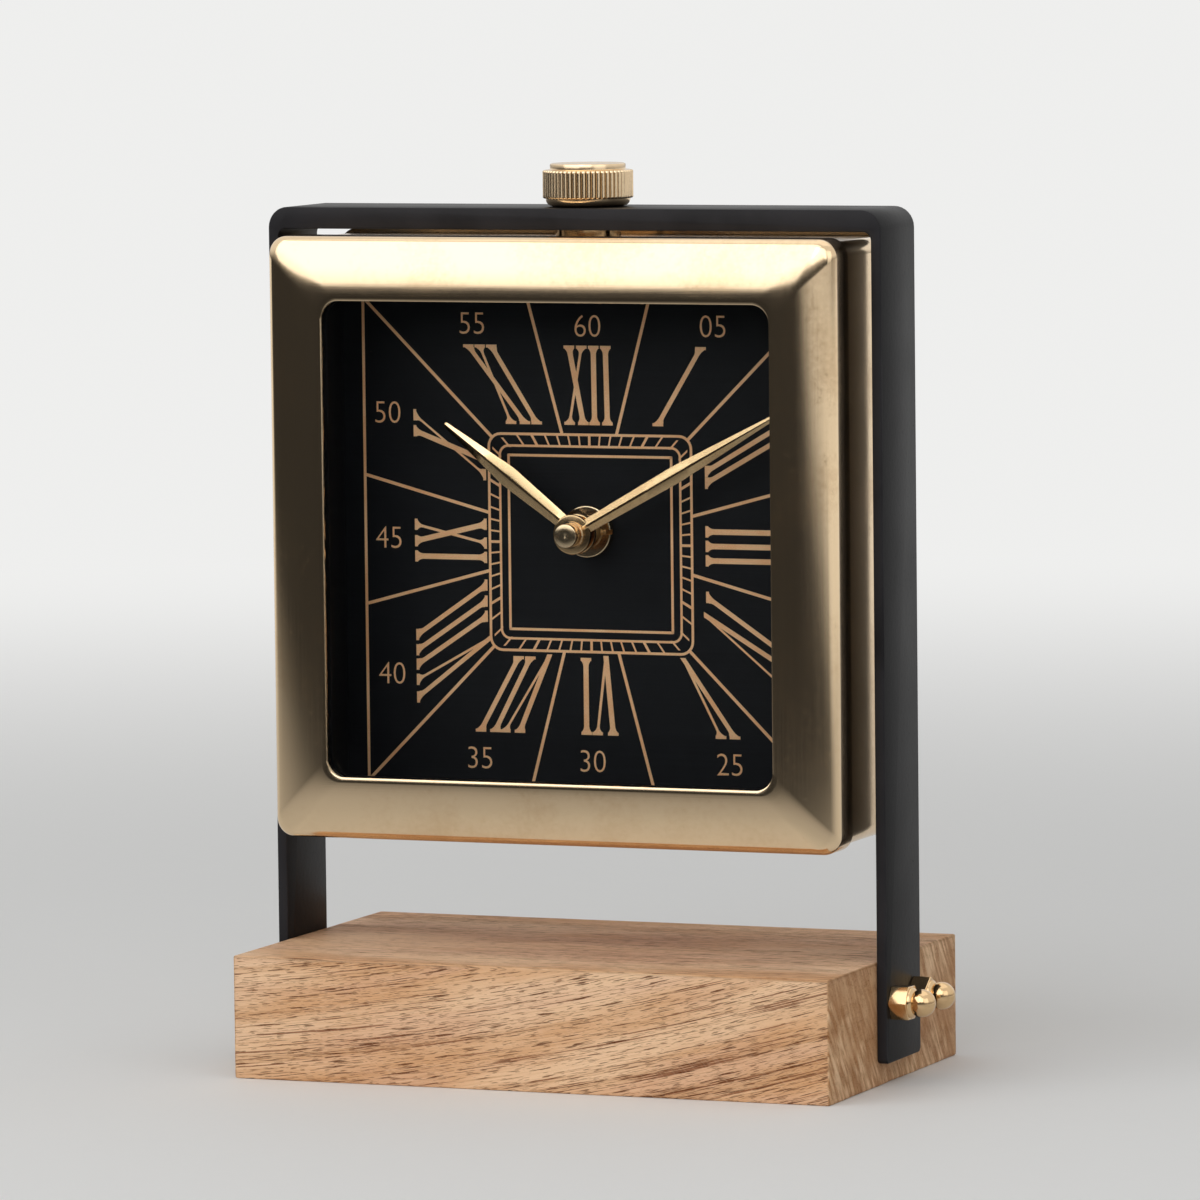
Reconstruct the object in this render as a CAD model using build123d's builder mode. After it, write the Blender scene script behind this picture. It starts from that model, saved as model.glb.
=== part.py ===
"""Square brass desk clock hung in a black strap over a wooden base.

Millimetres, +Z up, the dial faces -Y, origin at the middle of the base's underside.
The hands stand at ten past ten.
"""

import os
from math import asin, cos, degrees, pi, radians, sin, tan

from build123d import *

os.makedirs("parts", exist_ok=True)

# Fits used all over
slip_fit = 0.1
bore_fit = 0.05
running_fit = 0.05
end_float = 0.15

# Case: bezel in front, square shell, back cover behind
bezel_width = 146.6
bezel_corner = 4.5
bezel_wall = 1.0
bezel_border = 15.5
bezel_rise = 5.5
bezel_edge_radius = 3.0
bezel_depth = 13.0
window_corner = 4.5
shell_wall = 1.2
case_depth = 61.0
cover_wall = 1.0
cover_depth = 13.0
cover_edge_radius = 2.5
cover_opening_width = 68.0
cover_opening_corner = 4.0

# Base and the room left round the case
base_depth = 90.0
base_height = 30.0
base_edge_radius = 0.6
case_lift = 27.2
case_side_gap = 3.7

# Strap, a flat bar over the case
strap_width = 24.0
leg_thickness = 2.6
bridge_thickness = 5.3
strap_outer_radius = 5.0
strap_inner_radius = 2.0
leg_foot_height = 5.5
leg_end_radius = 1.5

# Studs and acorn nuts that hold the strap
stud_diameter = 5.0
stud_spacing = 14.0
stud_height = 20.0
stud_depth = 25.0
nut_across_flats = 8.0
nut_hex_height = 4.6
nut_collar_height = 0.9
nut_neck_diameter = 6.0
nut_ball_diameter = 6.8
nut_engagement = 5.0
nut_turns = (42.0, 10.0, 58.0, 35.0)

# Fixing of the case to the strap, and the knurled crown
bolt_diameter = 6.0
bolt_head_diameter = 12.0
bolt_head_height = 1.8
bolt_washer_diameter = 14.0
bolt_washer_thickness = 0.8
spacer_diameter = 16.0
spacer_thickness = 2.2
crown_diameter = 22.0
crown_knurl_count = 56
crown_knurl_depth = 0.55
crown_foot_diameter = 18.0
crown_foot_height = 1.9
crown_band_height = 6.9
crown_cap_diameter = 18.4
crown_cap_height = 1.6
crown_cap_chamfer = 0.4
crown_thread_depth = 6.5

# Glass, surround and dial
glass_thickness = 2.0
glass_lap = 3.0
glass_seat = 0.3
glass_corner = 4.0
dial_recess = 29.5
dial_thickness = 1.0
dial_corner = 2.0
dial_lip = 1.5
dial_headroom = 0.8
surround_wall = 1.2
rail_thickness = 1.0
rail_flange = 10.0
rail_end = 10.0
screw_diameter = 3.0
screw_head_diameter = 5.6
screw_head_height = 1.6
screw_recess_width = 0.8
screw_recess_length = 3.2
screw_recess_depth = 0.9
screw_length = 6.0
screw_spacing = 90.0

# Quartz movement body
movement_depth = 16.5
movement_wall = 1.2
movement_corner = 2.0
rubber_diameter = 18.0
rubber_thickness = 1.0
bush_diameter = 8.0
dial_washer_diameter = 11.0
dial_washer_thickness = 0.6
bush_nut_diameter = 12.8
bush_nut_edge = 0.4
bush_nut_slot = 1.2
bush_nut_height = 2.2
bush_proud = 0.6
battery_diameter = 14.5
battery_length = 50.5
battery_nub_diameter = 5.5
battery_nub_length = 1.5
battery_play = 0.25
contact_thickness = 0.4
contact_boss = 0.6
contact_width = 9.0
spring_reach = 2.0

# Wheels: teeth, layers and the directions from each wheel to the next
wheel_thickness = 1.0
layer_gap = 0.6
hour_layer = 0
minute_layer = 1
centre_layer = 2
third_layer = 3
seconds_layer = 4
intermediate_layer = 5
tooth_height = 0.75
tooth_depth = 1.0
tooth_share = 0.40
flank_angle = 20.0
cannon_teeth = 12
minute_wheel_teeth = 36
minute_pinion_teeth = 10
hour_wheel_teeth = 40
motion_module = 0.5
centre_wheel_teeth = 64
train_pinion_teeth = 8
third_wheel_teeth = 60
seconds_wheel_teeth = 50
intermediate_pinion_teeth = 10
intermediate_wheel_teeth = 48
train_module = 0.25
minute_wheel_bearing = 150.0
third_bearing = 40.0
seconds_bearing = 80.0
intermediate_bearing = 165.0
rotor_bearing = 170.0
train_arbor_radius = 0.6
post_radius = 1.1
setting_arbor_radius = 1.2
setting_knob_diameter = 12.0
setting_knob_height = 3.5
setting_knob_flute_count = 24
setting_knob_flute_depth = 0.5
setting_knob_standoff = 0.4

# Motor and circuit
magnet_radius = 2.5
magnet_length = 2.0
stator_air_gap = 0.5
stator_rim = 1.0
stator_thickness = 1.0
stator_arm_spread = 7.5
stator_arm_width = 2.4
coil_reach = 13.6
coil_core_width = 2.0
coil_core_thickness = 1.0
coil_diameter = 5.4
coil_cheek_diameter = 6.4
coil_cheek_thickness = 0.8
coil_length = 11.0
board_width = 15.0
board_height = 11.0
board_thickness = 1.0
board_inset = 2.0
crystal_diameter = 2.0
crystal_length = 6.0

# Hands, stacked forward from the dial, their axis a little above the case's middle
axis_lift = 0.9
pipe_radius = 2.5
arbor_radius = 1.5
arbor_tip_radius = 1.1
arbor_pivot_radius = 1.0
hour_hand_stand = 8.2
pipe_proud = 0.4
minute_hand_stand = 11.4
hand_edge = 0.35
hand_ridge = 0.55
hand_flat_share = 0.25
hub_radius = 4.9
hub_thickness = 0.8
hour_hand_length = 43.5
hour_hand_belly = 5.2
minute_hand_length = 60.0
minute_hand_belly = 4.2
hand_root_width = 3.0
hand_tip_width = 1.2
belly_share = 0.52
hour_hand_angle = 307.1
minute_hand_angle = 60.9
cap_diameter = 5.8
cap_length = 4.2
cap_collar_length = 1.0
cap_collar_diameter = 6.6
cap_end_chamfer = 0.3
cap_thread_depth = 2.6

# Places worked out from the sizes above
bezel_half = bezel_width / 2
window_half = bezel_half - bezel_border
case_front = -case_depth / 2
case_back = case_depth / 2
roll_start = case_front + bezel_rise
bezel_back = case_front + bezel_depth
shell_half = bezel_half - max(bezel_wall, cover_wall) - slip_fit
shell_inner = shell_half - shell_wall
shell_corner = bezel_corner - bezel_wall - slip_fit
shell_front = roll_start
shell_back = case_back - cover_edge_radius
base_width = bezel_width + 2 * case_side_gap
case_centre = base_height + case_lift + bezel_half
bridge_underside = case_centre + shell_half + spacer_thickness
strap_top = bridge_underside + bridge_thickness
leg_outer = base_width / 2 + leg_thickness
bolt_seat = case_centre + shell_inner
bolt_head_top = bolt_seat - bolt_washer_thickness

dial_front = case_front + dial_recess
dial_back = dial_front + dial_thickness
dial_half = shell_inner - bolt_washer_thickness - bolt_head_height - dial_headroom
surround_half = dial_half - dial_lip
glass_front = case_front + bezel_wall + glass_seat
glass_back = glass_front + glass_thickness
rail_back = case_back - cover_wall - slip_fit
rail_outer = shell_inner - slip_fit
rail_length = screw_spacing + 2 * rail_end
screw_x = rail_outer - rail_flange / 2

bay_length = battery_length + spring_reach + contact_thickness + contact_boss + 2 * bore_fit
movement_width = bay_length + 2 * movement_wall
movement_half = movement_width / 2
movement_front = dial_back + rubber_thickness
movement_back = movement_front + movement_depth
cover_plate_front = movement_back - movement_wall
bay_inner = movement_half - movement_wall
bay_height = battery_diameter + 2 * battery_play
bay_top = -bay_inner + bay_height
train_floor = bay_top + movement_wall
battery_z = -bay_inner + bay_height / 2
battery_y = movement_front + movement_wall + battery_play + battery_diameter / 2
battery_tip_x = bay_inner - contact_thickness - contact_boss - bore_fit
battery_flat_x = battery_tip_x - battery_length

motion_distance = motion_module * (cannon_teeth + minute_wheel_teeth) / 2
hour_module = 2 * motion_distance / (minute_pinion_teeth + hour_wheel_teeth)
centre_distance = train_module * (centre_wheel_teeth + train_pinion_teeth) / 2
third_distance = train_module * (third_wheel_teeth + train_pinion_teeth) / 2
seconds_distance = train_module * (seconds_wheel_teeth + intermediate_pinion_teeth) / 2
rotor_distance = train_module * (intermediate_wheel_teeth + train_pinion_teeth) / 2


def step_from(start, distance, bearing):
    """Point at a distance and a bearing, in degrees from +X towards +Z, from a start point."""
    x, z = start
    return x + distance * cos(radians(bearing)), z + distance * sin(radians(bearing))


hand_axis = (0.0, axis_lift)
minute_wheel_at = step_from(hand_axis, motion_distance, minute_wheel_bearing)
third_at = step_from(hand_axis, centre_distance, third_bearing)
seconds_at = step_from(third_at, third_distance, seconds_bearing)
intermediate_at = step_from(seconds_at, seconds_distance, intermediate_bearing)
rotor_at = step_from(intermediate_at, rotor_distance, rotor_bearing)


def front_plane(y, at=hand_axis):
    """Plane at depth y that faces the viewer, centred on a point beside the case's middle."""
    x, z = at
    return Plane(origin=(x, y, case_centre + z), x_dir=(1, 0, 0), z_dir=(0, -1, 0))


def case_plane(y):
    """Plane at depth y that faces the viewer, centred on the case's middle."""
    return front_plane(y, (0.0, 0.0))


def layer_back(layer):
    """Depth of the back face of one layer of wheels, counted from the dial side."""
    first = movement_front + movement_wall + layer_gap
    return first + layer * (wheel_thickness + layer_gap) + wheel_thickness


def meshing_turn(turn, teeth, bearing, next_teeth):
    """Turn of a gear whose gap takes the tooth of the gear that drives it."""
    pitches = (bearing - turn) * teeth / 360
    return bearing + 180 + (pitches + 0.5) * 360 / next_teeth


def gear_outline(teeth, module, turn):
    """Corner points of a spur gear with straight-flanked teeth."""
    pitch_radius = module * teeth / 2
    root = pitch_radius - tooth_depth * module
    tip = pitch_radius + tooth_height * module
    points = []
    for tooth in range(teeth):
        middle = radians(turn) + 2 * pi * tooth / teeth
        for radius, side in ((root, -1), (tip, -1), (tip, 1), (root, 1)):
            slope = (radius - pitch_radius) * tan(radians(flank_angle))
            half_width = tooth_share * pi * module / 2 - slope
            angle = middle + side * half_width / radius
            points.append((radius * cos(angle), radius * sin(angle)))
    return points


def knurl_outline(count, radius, depth):
    """Corner points of a straight knurl: flat-topped ribs round a drum."""
    points = []
    for rib in range(count):
        for share, reach in ((0.0, radius - depth), (0.3, radius), (0.6, radius), (0.9, radius - depth)):
            angle = 2 * pi * (rib + share) / count
            points.append((reach * cos(angle), reach * sin(angle)))
    return points


def compound_wheel(at, layer, wheel, pinion, arbor_radius, arbor_back):
    """A wheel on one layer, its pinion on the layer in front and its arbor reaching back."""
    with BuildPart() as gear:
        with BuildSketch(front_plane(layer_back(layer), at)):
            with BuildLine():
                Polyline(*gear_outline(*wheel), close=True)
            make_face()
        extrude(amount=wheel_thickness)
        with BuildSketch(front_plane(layer_back(layer) - wheel_thickness, at)):
            with BuildLine():
                Polyline(*gear_outline(*pinion), close=True)
            make_face()
        extrude(amount=layer_gap + wheel_thickness)
        with BuildSketch(front_plane(layer_back(layer), at)):
            Circle(arbor_radius)
        extrude(amount=layer_back(layer) - arbor_back)
    return gear


# Turns that bring every pair of gears into mesh, from the hand axis outwards
cannon_turn = 0.0
minute_wheel_turn = meshing_turn(cannon_turn, cannon_teeth, minute_wheel_bearing, minute_wheel_teeth)
hour_wheel_turn = 0.0
minute_pinion_turn = meshing_turn(
    hour_wheel_turn, hour_wheel_teeth, minute_wheel_bearing, minute_pinion_teeth
)
centre_wheel_turn = 0.0
third_pinion_turn = meshing_turn(centre_wheel_turn, centre_wheel_teeth, third_bearing, train_pinion_teeth)
third_wheel_turn = 0.0
seconds_pinion_turn = meshing_turn(third_wheel_turn, third_wheel_teeth, seconds_bearing, train_pinion_teeth)
seconds_wheel_turn = 0.0
intermediate_pinion_turn = meshing_turn(
    seconds_wheel_turn, seconds_wheel_teeth, intermediate_bearing, intermediate_pinion_teeth
)
intermediate_wheel_turn = 0.0
rotor_pinion_turn = meshing_turn(
    intermediate_wheel_turn, intermediate_wheel_teeth, rotor_bearing, train_pinion_teeth
)

# Wooden base with blind holes for the studs
with BuildPart() as wood_base:
    with BuildSketch():
        Rectangle(base_width, base_depth)
    extrude(amount=base_height)
    fillet(wood_base.edges(), base_edge_radius)
    for side in (-1, 1):
        with BuildSketch(Plane.YZ.offset(side * base_width / 2)):
            with Locations((0, stud_height)):
                with GridLocations(stud_spacing, 0, 2, 1):
                    Circle(stud_diameter / 2 + bore_fit)
        extrude(amount=-side * stud_depth, mode=Mode.SUBTRACT)

# Strap: legs on the base's ends, a thicker bridge over the case
with BuildPart() as strap_frame:
    with BuildSketch(Plane.XZ):
        with Locations((0, leg_foot_height)):
            Rectangle(2 * leg_outer, strap_top - leg_foot_height, align=(Align.CENTER, Align.MIN))
            Rectangle(
                base_width,
                bridge_underside - leg_foot_height,
                align=(Align.CENTER, Align.MIN),
                mode=Mode.SUBTRACT,
            )
    extrude(amount=strap_width / 2, both=True)
    lengthwise = strap_frame.edges().filter_by(Axis.Y).group_by(Axis.Z)
    fillet(lengthwise[-1], strap_outer_radius)
    lengthwise = strap_frame.edges().filter_by(Axis.Y).filter_by_position(
        Axis.Z, bridge_underside - slip_fit, bridge_underside + slip_fit
    )
    fillet(lengthwise, strap_inner_radius)
    leg_corners = strap_frame.edges().filter_by(Axis.X).group_by(Axis.Z)[0]
    fillet(leg_corners, leg_end_radius)
    with BuildSketch(Plane.YZ):
        with Locations((0, stud_height)):
            with GridLocations(stud_spacing, 0, 2, 1):
                Circle(stud_diameter / 2 + bore_fit)
    extrude(amount=leg_outer, both=True, mode=Mode.SUBTRACT)
    with BuildSketch(Plane.XY.offset(bridge_underside)):
        Circle(bolt_diameter / 2 + bore_fit)
    extrude(amount=bridge_thickness, mode=Mode.SUBTRACT)

# Studs screwed into the base, ending inside the nuts
with BuildPart() as base_studs:
    for side in (-1, 1):
        with BuildSketch(Plane.YZ.offset(side * (base_width / 2 - stud_depth))):
            with Locations((0, stud_height)):
                with GridLocations(stud_spacing, 0, 2, 1):
                    Circle(stud_diameter / 2)
        extrude(amount=side * (stud_depth + leg_thickness + nut_engagement))


def acorn_nut(side, y, turn):
    """One domed nut seated on a leg, its hexagon given a turn about its axis."""
    seat = Vector(side * leg_outer, y, stud_height)
    outward = Vector(side, 0, 0)
    ball_radius = nut_ball_diameter / 2
    neck = nut_hex_height + nut_collar_height
    ball_middle = neck + (ball_radius**2 - (nut_neck_diameter / 2) ** 2) ** 0.5
    with BuildPart() as nut:
        with BuildSketch(Plane(origin=seat, x_dir=(0, 1, 0), z_dir=outward)):
            RegularPolygon(nut_across_flats / 2, 6, major_radius=False, rotation=turn)
        extrude(amount=nut_hex_height)
        with BuildSketch(Plane(origin=seat, x_dir=outward, z_dir=(0, -side, 0))):
            with BuildLine():
                Polyline(
                    (nut_hex_height, 0),
                    (nut_hex_height, nut_across_flats / 2),
                    (neck, nut_neck_diameter / 2),
                )
                ThreePointArc(
                    (neck, nut_neck_diameter / 2),
                    (ball_middle, ball_radius),
                    (ball_middle + ball_radius, 0),
                )
                Line((ball_middle + ball_radius, 0), (nut_hex_height, 0))
            make_face()
        revolve(axis=Axis(seat, outward))
        with BuildSketch(Plane(origin=seat, x_dir=(0, 1, 0), z_dir=outward)):
            Circle(stud_diameter / 2 + bore_fit)
        extrude(amount=nut_engagement + slip_fit, mode=Mode.SUBTRACT)
    return nut.part


nut_seats = [(side, end * stud_spacing / 2) for side in (-1, 1) for end in (-1, 1)]
with BuildPart() as acorn_nuts:
    for (side, y), turn in zip(nut_seats, nut_turns):
        add(acorn_nut(side, y, turn))

# Case shell, a square tube bored on top for the bolt
with BuildPart() as case_shell:
    with BuildSketch(case_plane(shell_back)):
        RectangleRounded(2 * shell_half, 2 * shell_half, shell_corner)
        RectangleRounded(2 * shell_inner, 2 * shell_inner, shell_corner - shell_wall, mode=Mode.SUBTRACT)
    extrude(amount=shell_back - shell_front)
    with BuildSketch(Plane.XY.offset(bolt_seat)):
        Circle(bolt_diameter / 2 + bore_fit)
    extrude(amount=2 * shell_wall, mode=Mode.SUBTRACT)


def pillow(wall):
    """The bezel's outer form drawn in by a wall: a square rim that rolls over to the window."""
    half = bezel_half - wall
    rise = bezel_rise - wall
    border = bezel_border - wall
    edge = bezel_edge_radius - wall
    crown = ((border - edge) ** 2 + rise**2 - edge**2) / (2 * (rise - edge))
    lean = degrees(asin((border - edge) / (crown - edge)))
    rim = bezel_back - roll_start
    behind = (0, bezel_back, case_centre)
    across = Plane(origin=behind, x_dir=(1, 0, 0), z_dir=(0, 0, -1))
    upright = Plane(origin=behind, x_dir=(0, 0, 1), z_dir=(1, 0, 0))
    with BuildPart() as form:
        with BuildSketch(case_plane(bezel_back)):
            RectangleRounded(2 * half, 2 * half, bezel_corner - wall)
        extrude(amount=rim + rise)
        for section in (across, upright):
            with BuildSketch(section):
                with BuildLine():
                    Polyline((-half, rim), (-half, 0), (half, 0), (half, rim))
                    CenterArc((half - edge, rim), edge, 0, 90 - lean)
                    CenterArc((half - border, rim + rise - crown), crown, 90 - lean, lean)
                    Line((half - border, rim + rise), (border - half, rim + rise))
                    CenterArc((border - half, rim + rise - crown), crown, 90, lean)
                    CenterArc((edge - half, rim), edge, 90 + lean, 90 - lean)
                make_face()
            extrude(amount=half, both=True, mode=Mode.INTERSECT)
    return form.part


# Bezel: an even wall under the pillow form, cut open at the window
with BuildPart() as bezel:
    add(pillow(0.0))
    add(pillow(bezel_wall), mode=Mode.SUBTRACT)
    with BuildSketch(case_plane(roll_start)):
        RectangleRounded(2 * window_half, 2 * window_half, window_corner)
    extrude(amount=2 * bezel_rise, mode=Mode.SUBTRACT)


def lid(wall):
    """The back cover's outer form drawn in by a wall: a square block with rolled back edges."""
    width = bezel_width - 2 * wall
    with BuildPart() as form:
        with BuildSketch(case_plane(case_back - wall)):
            RectangleRounded(width, width, bezel_corner - wall)
        extrude(amount=cover_depth - wall)
        fillet(form.faces().sort_by(Axis.Y)[-1].edges(), cover_edge_radius - wall)
    return form.part


# Back cover: a shallow lid with a square opening that reaches the movement
with BuildPart() as back_cover:
    add(lid(0.0))
    add(lid(cover_wall), mode=Mode.SUBTRACT)
    with BuildSketch(case_plane(case_back)):
        RectangleRounded(cover_opening_width, cover_opening_width, cover_opening_corner)
        with GridLocations(2 * screw_x, screw_spacing, 2, 2):
            Circle(screw_diameter / 2 + bore_fit)
    extrude(amount=2 * cover_wall, mode=Mode.SUBTRACT)

# Rails on the shell's side walls, from the dial to the back cover
with BuildPart() as case_rails:
    for side in (-1, 1):
        with BuildSketch(Plane.XY.offset(case_centre)):
            with BuildLine():
                Polyline(
                    (side * (rail_outer - rail_flange), dial_back),
                    (side * rail_outer, dial_back),
                    (side * rail_outer, rail_back),
                    (side * (rail_outer - rail_flange), rail_back),
                    (side * (rail_outer - rail_flange), rail_back - rail_thickness),
                    (side * (rail_outer - rail_thickness), rail_back - rail_thickness),
                    (side * (rail_outer - rail_thickness), dial_back + rail_thickness),
                    (side * (rail_outer - rail_flange), dial_back + rail_thickness),
                    close=True,
                )
            make_face()
        extrude(amount=rail_length / 2, both=True)
    upright = case_rails.edges().filter_by(Axis.Z).group_by(Axis.X)
    fillet(upright[0] + upright[-1], rail_thickness)
    with BuildSketch(case_plane(rail_back)):
        with GridLocations(2 * screw_x, screw_spacing, 2, 2):
            Circle(screw_diameter / 2 + bore_fit)
    extrude(amount=rail_thickness, mode=Mode.SUBTRACT)

# Screws of the back cover, cross-recessed
with BuildPart() as back_screws:
    with BuildSketch(case_plane(case_back + screw_head_height)):
        with GridLocations(2 * screw_x, screw_spacing, 2, 2):
            Circle(screw_head_diameter / 2)
    extrude(amount=screw_head_height)
    fillet(back_screws.faces().group_by(Axis.Y)[-1].edges(), screw_head_height / 2)
    with BuildSketch(case_plane(case_back)):
        with GridLocations(2 * screw_x, screw_spacing, 2, 2):
            Circle(screw_diameter / 2)
    extrude(amount=screw_length)
    with BuildSketch(case_plane(case_back + screw_head_height)):
        with GridLocations(2 * screw_x, screw_spacing, 2, 2):
            Rectangle(screw_recess_length, screw_recess_width)
            Rectangle(screw_recess_width, screw_recess_length)
    extrude(amount=screw_recess_depth, mode=Mode.SUBTRACT)

# Bolt, washer and spacer that hang the case from the bridge
with BuildPart() as case_bolt:
    with BuildSketch(Plane.XY.offset(bolt_head_top)):
        Circle(bolt_head_diameter / 2)
    extrude(amount=-bolt_head_height)
    fillet(case_bolt.faces().sort_by(Axis.Z)[0].edges(), bolt_head_height / 2)
    with BuildSketch(Plane.XY.offset(bolt_head_top)):
        Circle(bolt_diameter / 2)
    extrude(amount=strap_top + crown_thread_depth - bolt_head_top)

with BuildPart() as bolt_washer:
    with BuildSketch(Plane.XY.offset(bolt_seat)):
        Circle(bolt_washer_diameter / 2)
        Circle(bolt_diameter / 2 + bore_fit, mode=Mode.SUBTRACT)
    extrude(amount=-bolt_washer_thickness)

with BuildPart() as case_spacer:
    with BuildSketch(Plane.XY.offset(bridge_underside)):
        Circle(spacer_diameter / 2)
        Circle(bolt_diameter / 2 + bore_fit, mode=Mode.SUBTRACT)
    extrude(amount=-spacer_thickness)

# Crown: a turned drum with a knurled band, screwed onto the bolt
crown_base = strap_top + slip_fit
crown_band_base = crown_base + crown_foot_height
crown_band_top = crown_band_base + crown_band_height
crown_top = crown_band_top + crown_cap_height
with BuildPart() as crown_knob:
    with BuildSketch(Plane.XZ):
        with BuildLine():
            Polyline(
                (0, crown_base),
                (crown_foot_diameter / 2, crown_base),
                (crown_diameter / 2 - crown_knurl_depth, crown_band_base),
                (crown_diameter / 2 - 2 * crown_knurl_depth, crown_band_base),
                (crown_diameter / 2 - 2 * crown_knurl_depth, crown_band_top),
                (crown_cap_diameter / 2, crown_band_top),
                (crown_cap_diameter / 2, crown_top - crown_cap_chamfer),
                (crown_cap_diameter / 2 - crown_cap_chamfer, crown_top),
                (0, crown_top),
                close=True,
            )
        make_face()
    revolve(axis=Axis.Z)
    with BuildSketch(Plane.XY.offset(crown_band_base)):
        with BuildLine():
            Polyline(*knurl_outline(crown_knurl_count, crown_diameter / 2, crown_knurl_depth), close=True)
        make_face()
    extrude(amount=crown_band_height)
    with BuildSketch(Plane.XY.offset(crown_base)):
        Circle(bolt_diameter / 2 + running_fit)
    extrude(amount=crown_thread_depth + slip_fit, mode=Mode.SUBTRACT)

# Glass behind the window
with BuildPart() as glass_pane:
    with BuildSketch(case_plane(glass_back)):
        RectangleRounded(2 * (window_half + glass_lap), 2 * (window_half + glass_lap), glass_corner)
    extrude(amount=glass_thickness)

# Surround: a sleeve from the glass to the dial, with a flange that holds the glass
with BuildPart() as dial_surround:
    with BuildSketch(case_plane(dial_front)):
        RectangleRounded(2 * surround_half, 2 * surround_half, dial_corner)
    extrude(amount=dial_front - glass_back)
    sleeve_inner = surround_half - surround_wall
    with BuildSketch(case_plane(dial_front)):
        RectangleRounded(2 * sleeve_inner, 2 * sleeve_inner, dial_corner - surround_wall / 2)
    extrude(amount=dial_front - glass_back - surround_wall, mode=Mode.SUBTRACT)
    with BuildSketch(case_plane(dial_front)):
        RectangleRounded(2 * window_half, 2 * window_half, window_corner)
    extrude(amount=dial_front - glass_back, mode=Mode.SUBTRACT)

# Dial plate with the hole for the bush
with BuildPart() as dial_plate:
    with BuildSketch(case_plane(dial_back)):
        RectangleRounded(2 * dial_half, 2 * dial_half, dial_corner)
        with Locations(hand_axis):
            Circle(bush_diameter / 2 + bore_fit, mode=Mode.SUBTRACT)
    extrude(amount=dial_thickness)

# Bush of the movement, with its washers and its slotted round nut
bush_nut_back = dial_front - dial_washer_thickness
bush_front = bush_nut_back - bush_nut_height - bush_proud
with BuildPart() as centre_bush:
    with BuildSketch(front_plane(movement_front + movement_wall)):
        Circle(bush_diameter / 2)
        Circle(pipe_radius + running_fit, mode=Mode.SUBTRACT)
    extrude(amount=movement_front + movement_wall - bush_front)

with BuildPart() as rubber_washer:
    with BuildSketch(front_plane(movement_front)):
        Circle(rubber_diameter / 2)
        Circle(bush_diameter / 2 + bore_fit, mode=Mode.SUBTRACT)
    extrude(amount=rubber_thickness)

with BuildPart() as dial_washer:
    with BuildSketch(front_plane(dial_front)):
        Circle(dial_washer_diameter / 2)
        Circle(bush_diameter / 2 + bore_fit, mode=Mode.SUBTRACT)
    extrude(amount=dial_washer_thickness)

with BuildPart() as bush_nut:
    with BuildSketch(front_plane(bush_nut_back)):
        Circle(bush_nut_diameter / 2)
        Circle(bush_diameter / 2 + bore_fit, mode=Mode.SUBTRACT)
    extrude(amount=bush_nut_height)
    rim = bush_nut.faces().sort_by(Axis.Y)[0].outer_wire().edges()
    fillet(rim, bush_nut_edge)
    with BuildSketch(front_plane(bush_nut_back - bush_nut_height)):
        Rectangle(bush_nut_diameter, bush_nut_slot)
    extrude(amount=-bush_nut_slot, mode=Mode.SUBTRACT)

# Movement housing: a tub with a bay for the battery below the wheels
with BuildPart() as movement_housing:
    with BuildSketch(front_plane(movement_back)):
        RectangleRounded(movement_width, movement_width, movement_corner)
    extrude(amount=movement_depth)
    with BuildSketch(front_plane(movement_back)):
        with Locations((0, train_floor)):
            Rectangle(2 * bay_inner, bay_inner - train_floor, align=(Align.CENTER, Align.MIN))
        with Locations((0, battery_z)):
            Rectangle(2 * bay_inner, bay_height)
    extrude(amount=movement_depth - movement_wall, mode=Mode.SUBTRACT)
    with BuildSketch(front_plane(movement_back)):
        with Locations((0, bay_top)):
            Rectangle(movement_width, movement_half - bay_top, align=(Align.CENTER, Align.MIN))
    extrude(amount=movement_wall, mode=Mode.SUBTRACT)
    with BuildSketch(front_plane(movement_back)):
        Circle(bush_diameter / 2 + bore_fit)
    extrude(amount=movement_depth, mode=Mode.SUBTRACT)

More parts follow.
